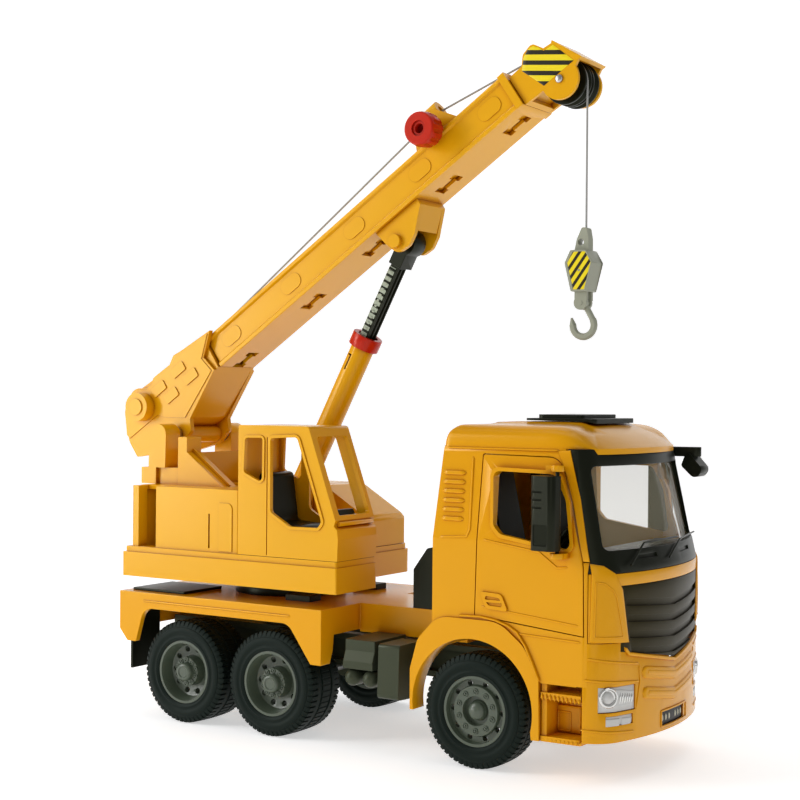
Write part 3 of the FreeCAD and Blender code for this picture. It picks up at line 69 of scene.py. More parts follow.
# ---------------------------------------------------------------- camera
# A long lens, a little above the deck, looks at the near side and the nose; it leans by half a degree.
EYE = at((438.85, -673.98, 174.29))
TURN, DIP, ROLL = np.radians([32.65, 0.2, 0.46])
ahead = np.array([-math.sin(TURN) * math.cos(DIP), math.cos(TURN) * math.cos(DIP), -math.sin(DIP)])
level = np.array([math.cos(TURN), math.sin(TURN), 0.0])
upward = np.cross(level, ahead)
across = level * math.cos(ROLL) + upward * math.sin(ROLL)
above = upward * math.cos(ROLL) - level * math.sin(ROLL)
camera = bpy.data.objects.new("camera", bpy.data.cameras.new("camera"))
camera.data.lens = 68.79
camera.data.sensor_width = 36.0
camera.matrix_world = Matrix([[across[i], above[i], -ahead[i], EYE[i]] for i in range(3)] + [[0, 0, 0, 1]])
bpy.context.scene.collection.objects.link(camera)
bpy.context.scene.camera = camera


# ---------------------------------------------------------------- rope
# One thin grey twisted cord: it runs from the boom's heel over its back to the winch, on to the head, over
# the near sheave and straight down to the hook block.  Its weight and the block keep it taut.
class Wire:
    """A node's output that takes part in Python arithmetic; each operator adds one Math node."""

    def __init__(self, net, socket):
        self.net = net
        self.socket = socket

    def maths(self, operation, *values, clamp=False):
        inputs = {i: v for i, v in enumerate(values)}
        return self.net.add("Math", {"operation": operation, "use_clamp": clamp}, inputs)

    def __add__(self, other):
        return self.maths("ADD", self, other)

    __radd__ = __add__

    def __sub__(self, other):
        return self.maths("SUBTRACT", self, other)

    def __rsub__(self, other):
        return self.maths("SUBTRACT", other, self)

    def __mul__(self, other):
        return self.maths("MULTIPLY", self, other)

    __rmul__ = __mul__

    def above(self, edge, width=0.0):
        """0 below edge and 1 above it, over a ramp of this width."""
        if width <= 0:
            return self.maths("GREATER_THAN", self, edge)
        return self.maths("MULTIPLY_ADD", self, 1 / width, 0.5 - edge / width, clamp=True)


class Net:
    """One material's node tree.  add() makes a node, sets it up and gives one of its outputs."""

    def __init__(self, name):
        self.material = bpy.data.materials.new(name)
        self.material.use_nodes = True
        self.tree = self.material.node_tree
        self.shader = self.tree.nodes["Principled BSDF"]
        self.place = self.add("TexCoord", out="Object")

    def add(self, kind, settings=None, inputs=None, out=0):
        node = self.tree.nodes.new("ShaderNode" + kind)
        for key, value in (settings or {}).items():
            setattr(node, key, value)
        for key, value in (inputs or {}).items():
            self.feed(node.inputs[key], value)
        return Wire(self, node.outputs[out])

    def feed(self, socket, value):
        if isinstance(value, Wire):
            self.tree.links.new(value.socket, socket)
        else:
            socket.default_value = value

    def noise(self, scale, detail=2.0, place=None):
        return self.add("TexNoise", {}, {"Vector": place or self.place, "Scale": scale, "Detail": detail})

    def mix(self, factor, a, b):
        """Colour a where factor is 0 and colour b where it is 1."""
        inputs = {0: factor, 6: a, 7: b}
        return self.add("Mix", {"data_type": "RGBA"}, inputs, out=2)

    def finish(self, bump=None, strength=0.2, distance=0.0001, **sockets):
        """Sets the shader's sockets by name, with underscores for spaces, and a bump height if given."""
        for key, value in sockets.items():
            self.feed(self.shader.inputs[key.replace("_", " ")], value)
        if bump is not None:
            height = {"Height": bump, "Strength": strength, "Distance": distance}
            self.feed(self.shader.inputs["Normal"], self.add("Bump", {}, height))
        return self.material


def shade(colour, factor):
    """A linear colour made lighter or darker, with alpha 1."""
    return (*(min(1.0, c * factor) for c in colour[:3]), 1.0)


ROPE_D = 1.0 * MM
STRANDS = 3.0


def cord_finish():
    """Twisted cord: slanted strands along its own length, read from the piece's own UV map, with painted
    shade in the grooves between strands and painted light on their crowns.
    """
    net = Net("twisted_cord")
    grey = (0.42, 0.42, 0.40)
    map_uv = net.add("UVMap", {"uv_map": "UVMap"})
    parts = net.tree.nodes.new("ShaderNodeSeparateXYZ")
    net.feed(parts.inputs[0], map_uv)
    around, along = Wire(net, parts.outputs[0]), Wire(net, parts.outputs[1])
    strand = net.add("Math", {"operation": "FRACT"}, {0: around * STRANDS + along})
    crown = strand.maths("PINGPONG", strand * 2.0, 1.0)
    # Painted shade and light: the cord's one grey is darkened in the grooves and lightened on the strand
    # crowns, following the strand's height.
    colour = net.mix(crown, shade(grey, 0.55), shade(grey, 1.1))
    return net.finish(bump=crown, strength=0.6, distance=0.0001, Base_Color=colour, Roughness=0.75)

CORD = cord_finish()


def link(name, data):
    thing = bpy.data.objects.new(name, data)
    bpy.context.scene.collection.objects.link(thing)
    return thing


def grid_mesh(name, rows, around=False, along=False, smooth=True, uv=None):
    """Mesh of a grid of points rows[i, j]: cells between neighbours, closed around j or along i if asked.

    Faces are taken so that (j direction) x (i direction) is the outward normal.
    """
    rows = np.asarray(rows, float)
    n, m = rows.shape[:2]
    i = np.arange(n if along else n - 1)[:, None]
    j = np.arange(m if around else m - 1)[None, :]
    i2, j2 = (i + 1) % n, (j + 1) % m
    quads = np.stack([i * m + j, i * m + j2, i2 * m + j2, i2 * m + j], axis=-1).reshape(-1, 4)
    mesh = bpy.data.meshes.new(name)
    mesh.from_pydata(rows.reshape(-1, 3).tolist(), [], quads.tolist())
    if uv is not None:
        layer = mesh.uv_layers.new(name="UVMap")
        corner_i = np.stack([i + 0 * j, i + 0 * j, i + 1 + 0 * j, i + 1 + 0 * j], axis=-1).reshape(-1)
        corner_j = np.stack([j + 0 * i, j + 1 + 0 * i, j + 1 + 0 * i, j + 0 * i], axis=-1).reshape(-1)
        layer.data.foreach_set("uv", np.stack([corner_j / m * uv[0], corner_i / (n - 1) * uv[1]], -1).ravel())
    if smooth:
        mesh.polygons.foreach_set("use_smooth", [True] * len(mesh.polygons))
    return mesh


def rope(name, points, sides=10):
    """A tube of the cord's thickness round a line: ring k is centre + r (cos a u + sin a v).

    Its ends are open, and lie against the pieces that they run into.
    """
    points = np.asarray(points, float)
    steps = np.gradient(points, axis=0)
    steps /= np.linalg.norm(steps, axis=1)[:, None]
    side = np.cross(steps, [0.0, 1.0, 0.0])
    side /= np.linalg.norm(side, axis=1)[:, None]
    other = np.cross(steps, side)
    a = np.linspace(0, 2 * math.pi, sides, endpoint=False)[None, :, None]
    rings = points[:, None] + ROPE_D / 2 * (np.cos(a) * side[:, None] + np.sin(a) * other[:, None])
    length = float(np.linalg.norm(np.diff(points, axis=0), axis=1).sum())
    mesh = grid_mesh(name, rings, around=True, uv=(1.0, length / ROPE_D))
    piece = link(name, mesh)
    mesh.materials.append(CORD)
    return piece, length


def straight(a, b, step=2 * MM):
    """Points a (1 - t) + b t of a straight run, about a step apart."""
    count = max(3, int(np.linalg.norm(np.subtract(b, a)) / step))
    t = np.linspace(0, 1, count)[:, None]
    return np.asarray(a) * (1 - t) + np.asarray(b) * t


BOOM_TILT = math.radians(34.2)
PIVOT = at((-130.0, 0.0, 151.0))


def on_boom(points):
    """Boom stations (along, across, up from its underside line) in millimetres to places in the frame."""
    p = np.asarray(points, float)
    x = p[..., 0] * math.cos(BOOM_TILT) - p[..., 2] * math.sin(BOOM_TILT)
    z = p[..., 0] * math.sin(BOOM_TILT) + p[..., 2] * math.cos(BOOM_TILT)
    return PIVOT + MM * np.stack([x, p[..., 1], z], axis=-1)


SHEAVE = (293.5, 13.2)
HEAD_GUIDE = (287.8, 0.0, 36.0)
GROOVE_Y = -4.0
ROPE_RUN_R = 10.1
TANGENT = math.radians(39.5)


def over_sheave():
    """The rope's way round the near sheave: a straight run down to it, then an arc to the fall's top.

    On the arc the line lies the groove's radius from the sheave's centre, and it shifts across to the groove.
    """
    turn = np.linspace(TANGENT, -BOOM_TILT, 16)
    arc = np.stack([SHEAVE[0] + ROPE_RUN_R * np.cos(turn), np.full(turn.size, GROOVE_Y),
                    SHEAVE[1] + ROPE_RUN_R * np.sin(turn)], axis=-1)
    share = np.linspace(0, 1, 14)[:-1, None]
    run = np.array([HEAD_GUIDE]) * (1 - share) + arc[:1] * share
    return on_boom(np.concatenate([run, arc]))


rear_line = straight(*on_boom([(24.0, 0.0, 39.4), (216.8, 0.0, 49.6)]))
front_line = straight(*on_boom([(228.8, 0.0, 49.6), HEAD_GUIDE]))
wrap_line = over_sheave()
fall_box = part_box("rope_fall")
fall_x = (fall_box[0][0] + fall_box[1][0]) / 2
fall_line = straight((fall_x, GROOVE_Y * MM, fall_box[1][2]), (fall_x, GROOVE_Y * MM, fall_box[0][2]))
rope_rear, rear_length = rope("rope_rear_cord", rear_line)
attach(rope_rear, "boom")
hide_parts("rope_rear")
rope_front, front_length = rope("rope_front_cord", front_line)
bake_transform(rope_front)
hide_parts("rope_run")
rope_wrap, wrap_length = rope("rope_over_sheave", wrap_line)
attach(rope_wrap, "jib")
rope_fall, fall_length = rope("rope_fall_cord", fall_line)
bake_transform(rope_fall)
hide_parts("rope_fall")

# ---------------------------------------------------------------- moulded plastics
# The toy is moulded ABS: two near shades of yellow, black and grey parts, each with a very fine texture and
# faint flow marks.  Clear parts are thin polystyrene.


def moulded(name, colour, rough=0.32, grain=0.10, cloud=0.04, scale=2600.0, gloss=0.3, painted_crevice_shade=None,
            shine=(1.0, 1.0, 1.0)):
    """Plastic of one colour: slow clouding in colour and gloss, and a fine grain in the surface.

    Where walls face each other closely, the base colour is darkened towards a painted crevice shade colour,
    by how much of the near surroundings is open. This painted shade stands in for the deeper colour that
    saturated plastic takes when light bounces in it.
    """
    net = Net(name)
    clouds = net.noise(28.0, 3.0)
    fine = net.noise(scale, 1.0)
    tone = net.mix(clouds, shade(colour, 1 - cloud), shade(colour, 1 + cloud))
    if painted_crevice_shade:
        # Painted shade: ambient occlusion darkens the base colour towards the crevice shade colour in
        # creases, grooves and recesses.
        openness = net.add("AmbientOcclusion", {"samples": 6}, {"Distance": 0.004}, out="AO")
        tone = net.mix(openness.above(0.62, 0.55), shade(painted_crevice_shade, 1.0), tone)
    net.finish(bump=fine, strength=grain, distance=0.00006, Base_Color=tone,
               Roughness=clouds * 0.08 + (rough - 0.04) + fine * 0.03)
    net.shader.inputs["Specular IOR Level"].default_value = gloss
    net.shader.inputs["Specular Tint"].default_value = (*shine, 1.0)
    return net.material


# The crevice colours given below are painted shade for creases and recesses, darker than each plastic.
YELLOW = moulded("cab_yellow_abs", (0.78, 0.345, 0.002), rough=0.22, gloss=0.42, painted_crevice_shade=(0.42, 0.10, 0.0),
                 shine=(1.0, 0.86, 0.42))
LIGHT_YELLOW = moulded("crane_yellow_abs", (0.80, 0.385, 0.003), rough=0.22, gloss=0.42,
                       painted_crevice_shade=(0.42, 0.11, 0.0), shine=(1.0, 0.88, 0.5))
BLACK = moulded("black_abs", (0.0045, 0.0055, 0.003), rough=0.32, gloss=0.22, shine=(0.95, 1.0, 0.72))
GRILLE_BLACK = moulded("grille_black_abs", (0.020, 0.015, 0.003), rough=0.34, gloss=0.16,
                       shine=(1.0, 0.85, 0.4))
GREY = moulded("grey_abs", (0.040, 0.047, 0.028), rough=0.34, gloss=0.25, shine=(0.95, 1.0, 0.75))
RIM_GREY = moulded("rim_grey_abs", (0.075, 0.095, 0.065), rough=0.28, gloss=0.5)
SILVER = moulded("silver_abs", (0.33, 0.34, 0.26), rough=0.32)
# The red's crevice colour is painted shade for its creases.
RED = moulded("red_abs", (0.52, 0.014, 0.003), rough=0.24, gloss=0.4, painted_crevice_shade=(0.20, 0.0, 0.0),
              shine=(1.0, 0.62, 0.5))
RUBBER = moulded("tyre_rubber", (0.005, 0.009, 0.007), rough=0.5, grain=0.3, gloss=0.14,
                 shine=(0.85, 1.0, 0.9))
STEEL = moulded("axle_steel", (0.50, 0.50, 0.50), rough=0.3)
STEEL.node_tree.nodes["Principled BSDF"].inputs["Metallic"].default_value = 1.0
PLATE = moulded("plate_black", (0.012, 0.012, 0.012), rough=0.4)
LENS = moulded("lamp_reflector", (0.62, 0.62, 0.60), rough=0.2)


def clear_sheet():
    net = Net("clear_styrene")
    painted_reflection_haze = net.noise(9.0, 2.0)
    # Painted reflection: large soft patches of lighter and darker tint across the sheet stand in for the haze
    # of reflections on the glass.
    tint = net.mix(painted_reflection_haze, (0.40, 0.37, 0.24, 1.0), (0.50, 0.47, 0.34, 1.0))
    net.finish(Base_Color=tint, Roughness=painted_reflection_haze * 0.04 + 0.03)
    net.shader.inputs["Alpha"].default_value = 0.22
    return net.material


CLEAR = clear_sheet()
FINISHES = {"body_yellow": YELLOW, "crane_yellow": LIGHT_YELLOW, "black_plastic": BLACK, "grey_plastic": GREY,
            "rim_grey": RIM_GREY, "silver_plastic": SILVER, "red_plastic": RED, "tyre": RUBBER,
            "steel": STEEL, "clear": CLEAR, "lamp_clear": LENS, "cord": CORD, "plate": PLATE}
slot_of = {row["node"]: row["material_slot"] for row in frame["record"]["subparts"]}
for node, thing in frame["nodes"].items():
    thing.data.materials.clear()
    thing.data.materials.append(GRILLE_BLACK if node == "grille" else FINISHES[slot_of[node]])
    weld = thing.modifiers.new("weld", "WELD")
    weld.merge_threshold = 1e-5
    edges = thing.modifiers.new("edges", "BEVEL")
    edges.width = 0.35 * MM
    edges.segments = 2
    edges.limit_method = "ANGLE"
    edges.angle_limit = math.radians(32)
    edges.harden_normals = False

# ---------------------------------------------------------------- tyres
# Six hollow soft-rubber tyres of 54 mm pushed over the rims: round sidewalls with two raised rings, and a
# tread of shoulder lugs, two straight grooves and cross cuts in the middle rib.  The rear four are half as
# wide again as the front pair.
AXLE_STATIONS = {"front": (85.3, 17.0), "mid": (-34.1, 26.0), "rear": (-91.5, 26.0)}
TYRE_R = 27.0
TYRE_FACE = 57.0
LUGS = 56
TREAD_DEPTH = 0.75


def tyre_points(station, middle, width):
    """Rows of one tyre: a closed profile (across, radius) turned about the axle.

    The radius falls by the tread's depth wherever a cut runs: across the shoulders once a lug, round the tyre
    in two straight grooves, and across the middle rib half a lug further on.
    """
    half = width / 2
    share = np.array([0.0, 0.05, 0.32, 0.37, 0.53, 0.58, 0.85, 0.90])
    lug = (np.arange(LUGS)[:, None] + share[None, :]).ravel()
    part = np.tile(share, LUGS)
    notch = ((part > 0.04) & (part < 0.33)).astype(float)
    sipe = ((part > 0.57) & (part < 0.86)).astype(float) * 0.5
    cut_edges = np.array([0.985, 0.66, 0.63, 0.42, 0.40, 0.30, 0.28, 0.02])
    tread = np.concatenate([cut_edges, -cut_edges[::-1]]) * (half - 1.6)
    crown = TYRE_R - 0.45 * (tread / half) ** 2
    shoulder = (np.abs(tread) > 0.65 * (half - 1.6)).astype(float)
    ring = ((np.abs(tread) < 0.41 * (half - 1.6)) & (np.abs(tread) > 0.29 * (half - 1.6))).astype(float)
    rib = (np.abs(tread) < 0.285 * (half - 1.6)).astype(float)
    wall = np.array([(-1.7, 16.5), (-0.7, 16.7), (-0.15, 17.4), (0.0, 18.3), (-0.35, 18.8), (-0.4, 20.0),
                     (-0.1, 20.5), (0.0, 21.6), (-0.1, 22.8), (-0.45, 23.5), (-0.7, 23.6), (-0.75, 24.6),
                     (-1.1, 25.6)])
    side_cut = np.where(wall[:, 1] > 24.0, 1.0, 0.0)
    across = np.concatenate([half + wall[:, 0], tread, -(half + wall[::-1, 0]), [-(half - 5.0), half - 5.0]])
    radius = np.concatenate([wall[:, 1], crown, wall[::-1, 1], [17.2, 17.2]])
    lateral = np.concatenate([side_cut, shoulder, side_cut[::-1], [0, 0]])
    circle = np.concatenate([0 * side_cut, ring, 0 * side_cut, [0, 0]])
    middle_rib = np.concatenate([0 * side_cut, rib, 0 * side_cut, [0, 0]])
    middle_cut = np.maximum(circle[:, None], middle_rib[:, None] * sipe)
    depth = TREAD_DEPTH * np.maximum(lateral[:, None] * notch, middle_cut)
    reach = radius[:, None] - depth
    angle = 2 * math.pi * lug / LUGS
    points = np.stack([station + reach * np.sin(angle), middle + across[:, None] + 0 * reach,
                       TYRE_R + reach * np.cos(angle)], axis=-1)
    return points[::-1]


def joined(name, meshes):
    """One mesh of several, with nothing welded."""
    verts, faces, start = [], [], 0
    for mesh in meshes:
        flat = np.empty(len(mesh.vertices) * 3)
        mesh.vertices.foreach_get("co", flat)
        verts.append(flat.reshape(-1, 3))
        faces += [[start + v for v in face.vertices] for face in mesh.polygons]
        start += len(mesh.vertices)
    whole = bpy.data.meshes.new(name)
    whole.from_pydata(np.concatenate(verts).tolist(), [], faces)
    whole.polygons.foreach_set("use_smooth", [True] * len(whole.polygons))
    return whole


def made(name, meshes, finish, slot, body, *replaced, sharp=35.0):
    """Puts meshes together as one piece with a finish and the body that it rides on; the slot argument is not
    used.
    """
    mesh = joined(name, meshes) if len(meshes) > 1 else meshes[0]
    mesh.materials.append(finish)
    mesh.set_sharp_from_angle(angle=math.radians(sharp))
    piece = link(name, mesh)
    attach(piece, body)
    if replaced:
        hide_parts(*replaced)
    return piece


for axle, (station, width) in AXLE_STATIONS.items():
    middles = [side * (TYRE_FACE - width / 2) for side in (-1, 1)]
    pair = [grid_mesh(axle, at(tyre_points(station, middle, width)), around=True, along=True)
            for middle in middles]
    made(axle + "_tyre_pair", pair, RUBBER, "tyre", axle + "_wheels", axle + "_tyres")


# ---------------------------------------------------------------- wheel nuts and hub caps
# Ten moulded nuts stand in a ring on each rim, with a domed cap over the axle's end.  They are part of the
# rim's moulding, so they are the same grey.


def turned(name, profile, x, z, face_y, side, segments=24):
    """A profile of (radius, height) turned about a line along Y; height counts outwards from face_y."""
    profile = np.asarray(profile, float)
    a = np.linspace(0, 2 * math.pi, segments, endpoint=False)
    r, h = profile[:, 0][:, None], profile[:, 1][:, None]
    y = side * (face_y + h + 0 * a)
    points = np.stack([x + r * np.cos(a), y, z + r * np.sin(a)], axis=-1)
    return grid_mesh(name, at(points if side < 0 else points[:, ::-1]), around=True)


NUTS = 10
NUT = [(1.45, -0.4), (1.45, 0.35), (1.25, 0.6), (0.95, 0.6), (0.85, 0.2), (0.6, 0.2), (0.5, 0.65),
       (0.25, 0.8), (0.01, 0.85)]
HUB_SHAPES = {
    "front": (9.3, 54.8, [(4.3, -2.0), (4.3, 0.3), (3.9, 1.1), (3.0, 1.7), (2.0, 2.1), (0.01, 2.4)], 53.6),
    "mid": (6.3, 53.4, [(4.5, -1.0), (4.5, 1.2), (4.1, 1.7), (3.2, 1.9), (2.6, 1.4), (0.01, 1.4)], 54.8),
    "rear": (6.3, 53.4, [(4.5, -1.0), (4.5, 1.2), (4.1, 1.7), (3.2, 1.9), (2.6, 1.4), (0.01, 1.4)], 54.8),
}
for axle, (circle, nut_face, cap, cap_face) in HUB_SHAPES.items():
    station = AXLE_STATIONS[axle][0]
    meshes = []
    for side in (-1, 1):
        for k in range(NUTS):
            a = 2 * math.pi * (k + 0.5) / NUTS
            x, z = station + circle * math.cos(a), TYRE_R + circle * math.sin(a)
            meshes.append(turned("nut", NUT, x, z, nut_face, side, 14))
        meshes.append(turned("cap", cap, station, TYRE_R, cap_face, side, 32))
    made(axle + "_wheel_nuts", meshes, RIM_GREY, "rim_grey", axle + "_wheels")

# ---------------------------------------------------------------- nose of the cab
# Raised moulding on the yellow front: two rounded chevron bars under the grille, a field on each corner, and
# the bumper's creases.  It all follows the cab's rounded outline and is part of the same moulding.
SIDE_Y = 57.0
CORNER_X, CORNER_Y, CORNER_R, CORNER_TURN = 136.82, -39.82, 17.68, -1.3322
FRONT_X, FRONT_R, FRONT_TURN = 19.21, 141.79, -0.31554
CORNER_START_X = 141.0
CORNER_RUN = 19.334
MIDDLE_RUN = 64.07
RAKE_START_Z = 95.0
RAKE = 13.0 / 54.0


def on_nose(t, z, lift, far=False):
    """Places on the nose's skin: t runs round its outline from the side, z is the height.

    The outline is straight, then the corner's arc, then the front's wide arc, as x = centre + r cos(angle)
    and y = centre + r sin(angle); it leans back above the screen's foot, and lift stands out along its
    normal.
    """
    on_corner = t < CORNER_RUN
    angle = np.where(on_corner, CORNER_TURN + t / CORNER_R, FRONT_TURN + (t - CORNER_RUN) / FRONT_R)
    reach = np.where(on_corner, CORNER_R, FRONT_R) + lift
    x = np.where(on_corner, CORNER_X, FRONT_X) + reach * np.cos(angle)
    y = np.where(on_corner, CORNER_Y, 0.0) + reach * np.sin(angle)
    x = np.where(t < 0, CORNER_START_X + t, x) - RAKE * np.maximum(0.0, z - RAKE_START_Z)
    y = np.where(t < 0, -SIDE_Y - lift, y)
    return at(np.stack([x, -y if far else y, z + 0 * x], axis=-1))


def walk(points, step, closed=True):
    """Points along the straight lines between the given ones, about a step apart, corners kept."""
    points = np.asarray(points, float)
    ring = np.concatenate([points, points[:1]]) if closed else points
    run = np.concatenate([[0.0], np.cumsum(np.linalg.norm(np.diff(ring, axis=0), axis=1))])
    even = np.linspace(0, run[-1], max(4, int(run[-1] / step)))
    s = np.unique(np.round(np.concatenate([even, run]), 4))
    s = s[:-1] if closed else s
    return np.stack([np.interp(s, run, ring[:, k]) for k in range(points.shape[1])], axis=-1)


def field(name, outline, place, lift=0.6, rim=0.5, floor=0.0, step=1.3, flip=False, **where):
    """A raised field with a rounded rim: rings of the outline shrink to its middle and climb to the lift."""
    edge = walk(outline, step)
    turn = np.sum(edge[:, 0] * np.roll(edge[:, 1], -1) - np.roll(edge[:, 0], -1) * edge[:, 1])
    if (turn < 0) != flip:
        edge = edge[::-1]
    middle = edge.mean(axis=0)
    reach = np.linalg.norm(edge - middle, axis=1).mean()
    round_off = min(rim, lift)
    share = np.concatenate([[1.0, 1.0, 1 - 0.3 * rim / reach], np.linspace(1 - rim / reach, 0.004, 7)])
    height = np.concatenate([[-0.3, lift - 0.8 * round_off, lift - 0.25 * round_off], np.full(7, lift)])
    flat = middle + (edge - middle) * share[:, None, None]
    rows = place(flat[..., 0], flat[..., 1], floor + height[:, None] + 0 * flat[..., 0], **where)
    return grid_mesh(name, rows, around=True)


def bar(name, path, place, half, lift, floor=0.0, step=1.3, flip=False, closed=False, **where):
    """A rounded bar along a path: its height across is lift (1 - s^4)^(1/2), its ends are round in plan."""
    line = walk(path, step, closed)
    steps = np.roll(line, -1, axis=0) - np.roll(line, 1, axis=0) if closed else np.gradient(line, axis=0)
    steps /= np.linalg.norm(steps, axis=1)[:, None]
    normal = np.stack([-steps[:, 1], steps[:, 0]], axis=-1)
    s = np.linspace(1, -1, 9) * (-1 if flip else 1)
    run = np.concatenate([[0.0], np.cumsum(np.linalg.norm(np.diff(line, axis=0), axis=1))])
    past = np.clip((np.abs(run - run[-1] / 2) - (run[-1] / 2 - half)) / half, 0, 1)
    width = np.full(run.size, 1.0) if closed else np.sqrt(1.0002 - past ** 2)
    flat = line[:, None] + normal[:, None] * (half * width[:, None] * s)[..., None]
    height = (lift + 0.2) * np.sqrt(1 - s ** 4) * np.sqrt(width)[:, None] - 0.2
    return grid_mesh(name, place(flat[..., 0], flat[..., 1], floor + height, **where), along=closed)


def dome(name, profile, centre, place, floor=0.0, segments=28, flip=False, **where):
    """A round boss on a skin: a profile of (radius, height), outermost first, turned about a point of it."""
    profile = np.asarray(profile, float)
    a = np.linspace(0, 2 * math.pi, segments, endpoint=False) * (-1 if flip else 1)
    r, h = profile[:, 0][:, None], profile[:, 1][:, None]
    rows = place(centre[0] + r * np.cos(a), centre[1] + r * np.sin(a), floor + h + 0 * a, **where)
    return grid_mesh(name, rows, around=True)


def across_front(points):
    """A path on the near half of the front with its mirror image on the far half."""
    shared = 1 if points[-1][0] == MIDDLE_RUN else 0
    return points + [(2 * MIDDLE_RUN - t, z) for t, z in points[::-1][shared:]]


CORNER_FIELD = [(4.0, 99.7), (10.1, 98.8), (15.2, 95.3), (18.2, 90.0), (19.6, 88.0), (24.0, 63.7),
                (3.1, 64.8)]
CORNER_INNER = [(5.8, 91.5), (9.6, 91.0), (13.6, 88.0), (15.6, 84.6), (19.6, 66.6), (5.2, 67.0)]
BUMPER_CREASES = [[(1.5, 57.4), (31.9, 53.3)], [(0.2, 47.8), (32.6, 45.3)], [(-1.0, 25.5), (28.9, 23.2)],
                  [(31.9, 53.3), (32.6, 45.3), (30.0, 33.0)]]
nose_meshes = [
    bar("chevron", across_front([(33.7, 49.3), (MIDDLE_RUN, 44.9)]), on_nose, 3.1, 0.9),
    bar("chevron", across_front([(34.4, 39.8), (MIDDLE_RUN, 35.5)]), on_nose, 3.1, 0.9),
    bar("chevron_inner", across_front([(36.5, 49.0), (MIDDLE_RUN, 45.0)]), on_nose, 1.4, 1.2),
    bar("chevron_inner", across_front([(37.2, 39.5), (MIDDLE_RUN, 35.6)]), on_nose, 1.4, 1.2),
    bar("grille_lip", across_front([(21.0, 62.0), (24.0, 58.6), (MIDDLE_RUN, 51.4)]), on_nose, 0.9, 0.9),
]
for far in (False, True):
    nose_meshes.append(field("corner_field", CORNER_FIELD, on_nose, lift=0.7, rim=0.8, flip=far, far=far))
    nose_meshes.append(bar("corner_frame", CORNER_INNER, on_nose, 0.45, 0.25, floor=0.7, closed=True,
                           flip=far, far=far))
    for crease in BUMPER_CREASES:
        nose_meshes.append(bar("crease", crease, on_nose, 0.6, 0.4, flip=far, far=far))
made("nose_mouldings", nose_meshes, YELLOW, "body_yellow", "root")

# ---------------------------------------------------------------- lamps and number plate
# Each headlamp is a clear slanted lens over a bright reflector: a round projector with a chrome ring on the
# outer side, a fan of ribs beside it.  Fog lamps sit below, and the dark plate carries plain raised bars.
LAMP_FLOOR = -0.55
HEADLAMP = [(3.3, 45.2), (28.7, 41.5), (28.0, 35.1), (8.5, 35.0), (5.2, 39.1)]
FOG_LAMPS = [[(7.5, 26.6), (8.4, 30.5), (18.8, 30.2), (18.8, 26.3)],
             [(20.0, 26.2), (20.0, 30.1), (27.2, 29.8), (26.2, 26.8)]]
PROJECTOR = (12.0, 39.9)
BEZEL = [(4.6, -0.2), (4.6, 0.9), (4.2, 1.3), (3.7, 1.3), (3.3, 0.5), (2.7, 0.3)]
BALL = [(2.7, 0.3), (2.4, 1.0), (1.7, 1.6), (0.9, 1.9), (0.01, 2.0)]
CHROME = moulded("lamp_chrome", (0.72, 0.72, 0.70), rough=0.14, gloss=0.6)
CHROME.node_tree.nodes["Principled BSDF"].inputs["Metallic"].default_value = 0.85
lens_meshes, chrome_meshes = [], []
for far in (False, True):
    lens_meshes.append(field("lens", HEADLAMP, on_nose, lift=0.35, rim=0.5, floor=LAMP_FLOOR, flip=far,
                             far=far))
    lens_meshes.append(dome("ball", BALL, PROJECTOR, on_nose, floor=LAMP_FLOOR + 0.3, flip=far, far=far))
    chrome_meshes.append(dome("bezel", BEZEL, PROJECTOR, on_nose, floor=LAMP_FLOOR + 0.3, flip=far, far=far))
    for k in range(6):
        rib = [(18.6 + 1.6 * k, 36.0), (19.2 + 1.55 * k, 42.4 - 0.28 * k)]
        chrome_meshes.append(bar("rib", rib, on_nose, 0.55, 0.45, floor=LAMP_FLOOR + 0.3, flip=far, far=far))
    for fog in FOG_LAMPS:
        lens_meshes.append(field("fog", fog, on_nose, lift=0.5, rim=0.7, floor=LAMP_FLOOR, flip=far, far=far))
made("lamp_lenses", lens_meshes, LENS, "lamp_clear", "root")
made("lamp_chrome", chrome_meshes, CHROME, "lamp_clear", "root")
PLATE_START, PLATE_PITCH, PLATE_FLOOR = 53.2, 3.6, -0.7
PALE = moulded("plate_mark", (0.62, 0.60, 0.45), rough=0.4)
mark_places = [PLATE_START + PLATE_PITCH * k for k in (0, 1, 2, 4, 5, 6, 7)]
marks = [bar("mark", [(t, 23.2), (t, 27.2)], on_nose, 0.8, 0.25, floor=PLATE_FLOOR) for t in mark_places]
made("plate_marks", marks, PALE, "plate", "root")
PLATE_EDGE = [(50.6, 21.6), (50.6, 28.9), (80.6, 28.9), (80.6, 21.6)]
plate_edge = bar("surround", PLATE_EDGE, on_nose, 0.5, 0.5, closed=True)
made("plate_surround", [plate_edge], YELLOW, "body_yellow", "root")

# ---------------------------------------------------------------- cab sides
# Shallow relief moulded into the cab's sides: six round ribs behind the door, a pillar bead, the door's belt
# line, the wing's lip, the gutter under the roof, and the toothed treads and box of the steps.
LEAN_START_Z = 106.4
SIDE_LEAN = 0.0885


def on_side(x, z, lift, far=False):
    """Places on the cab's side skin, which leans inwards above the window's foot."""
    y = -SIDE_Y + SIDE_LEAN * np.maximum(0.0, z - LEAN_START_Z) - lift
    return at(np.stack([x + 0 * y, -y if far else y, z + 0 * y], axis=-1))


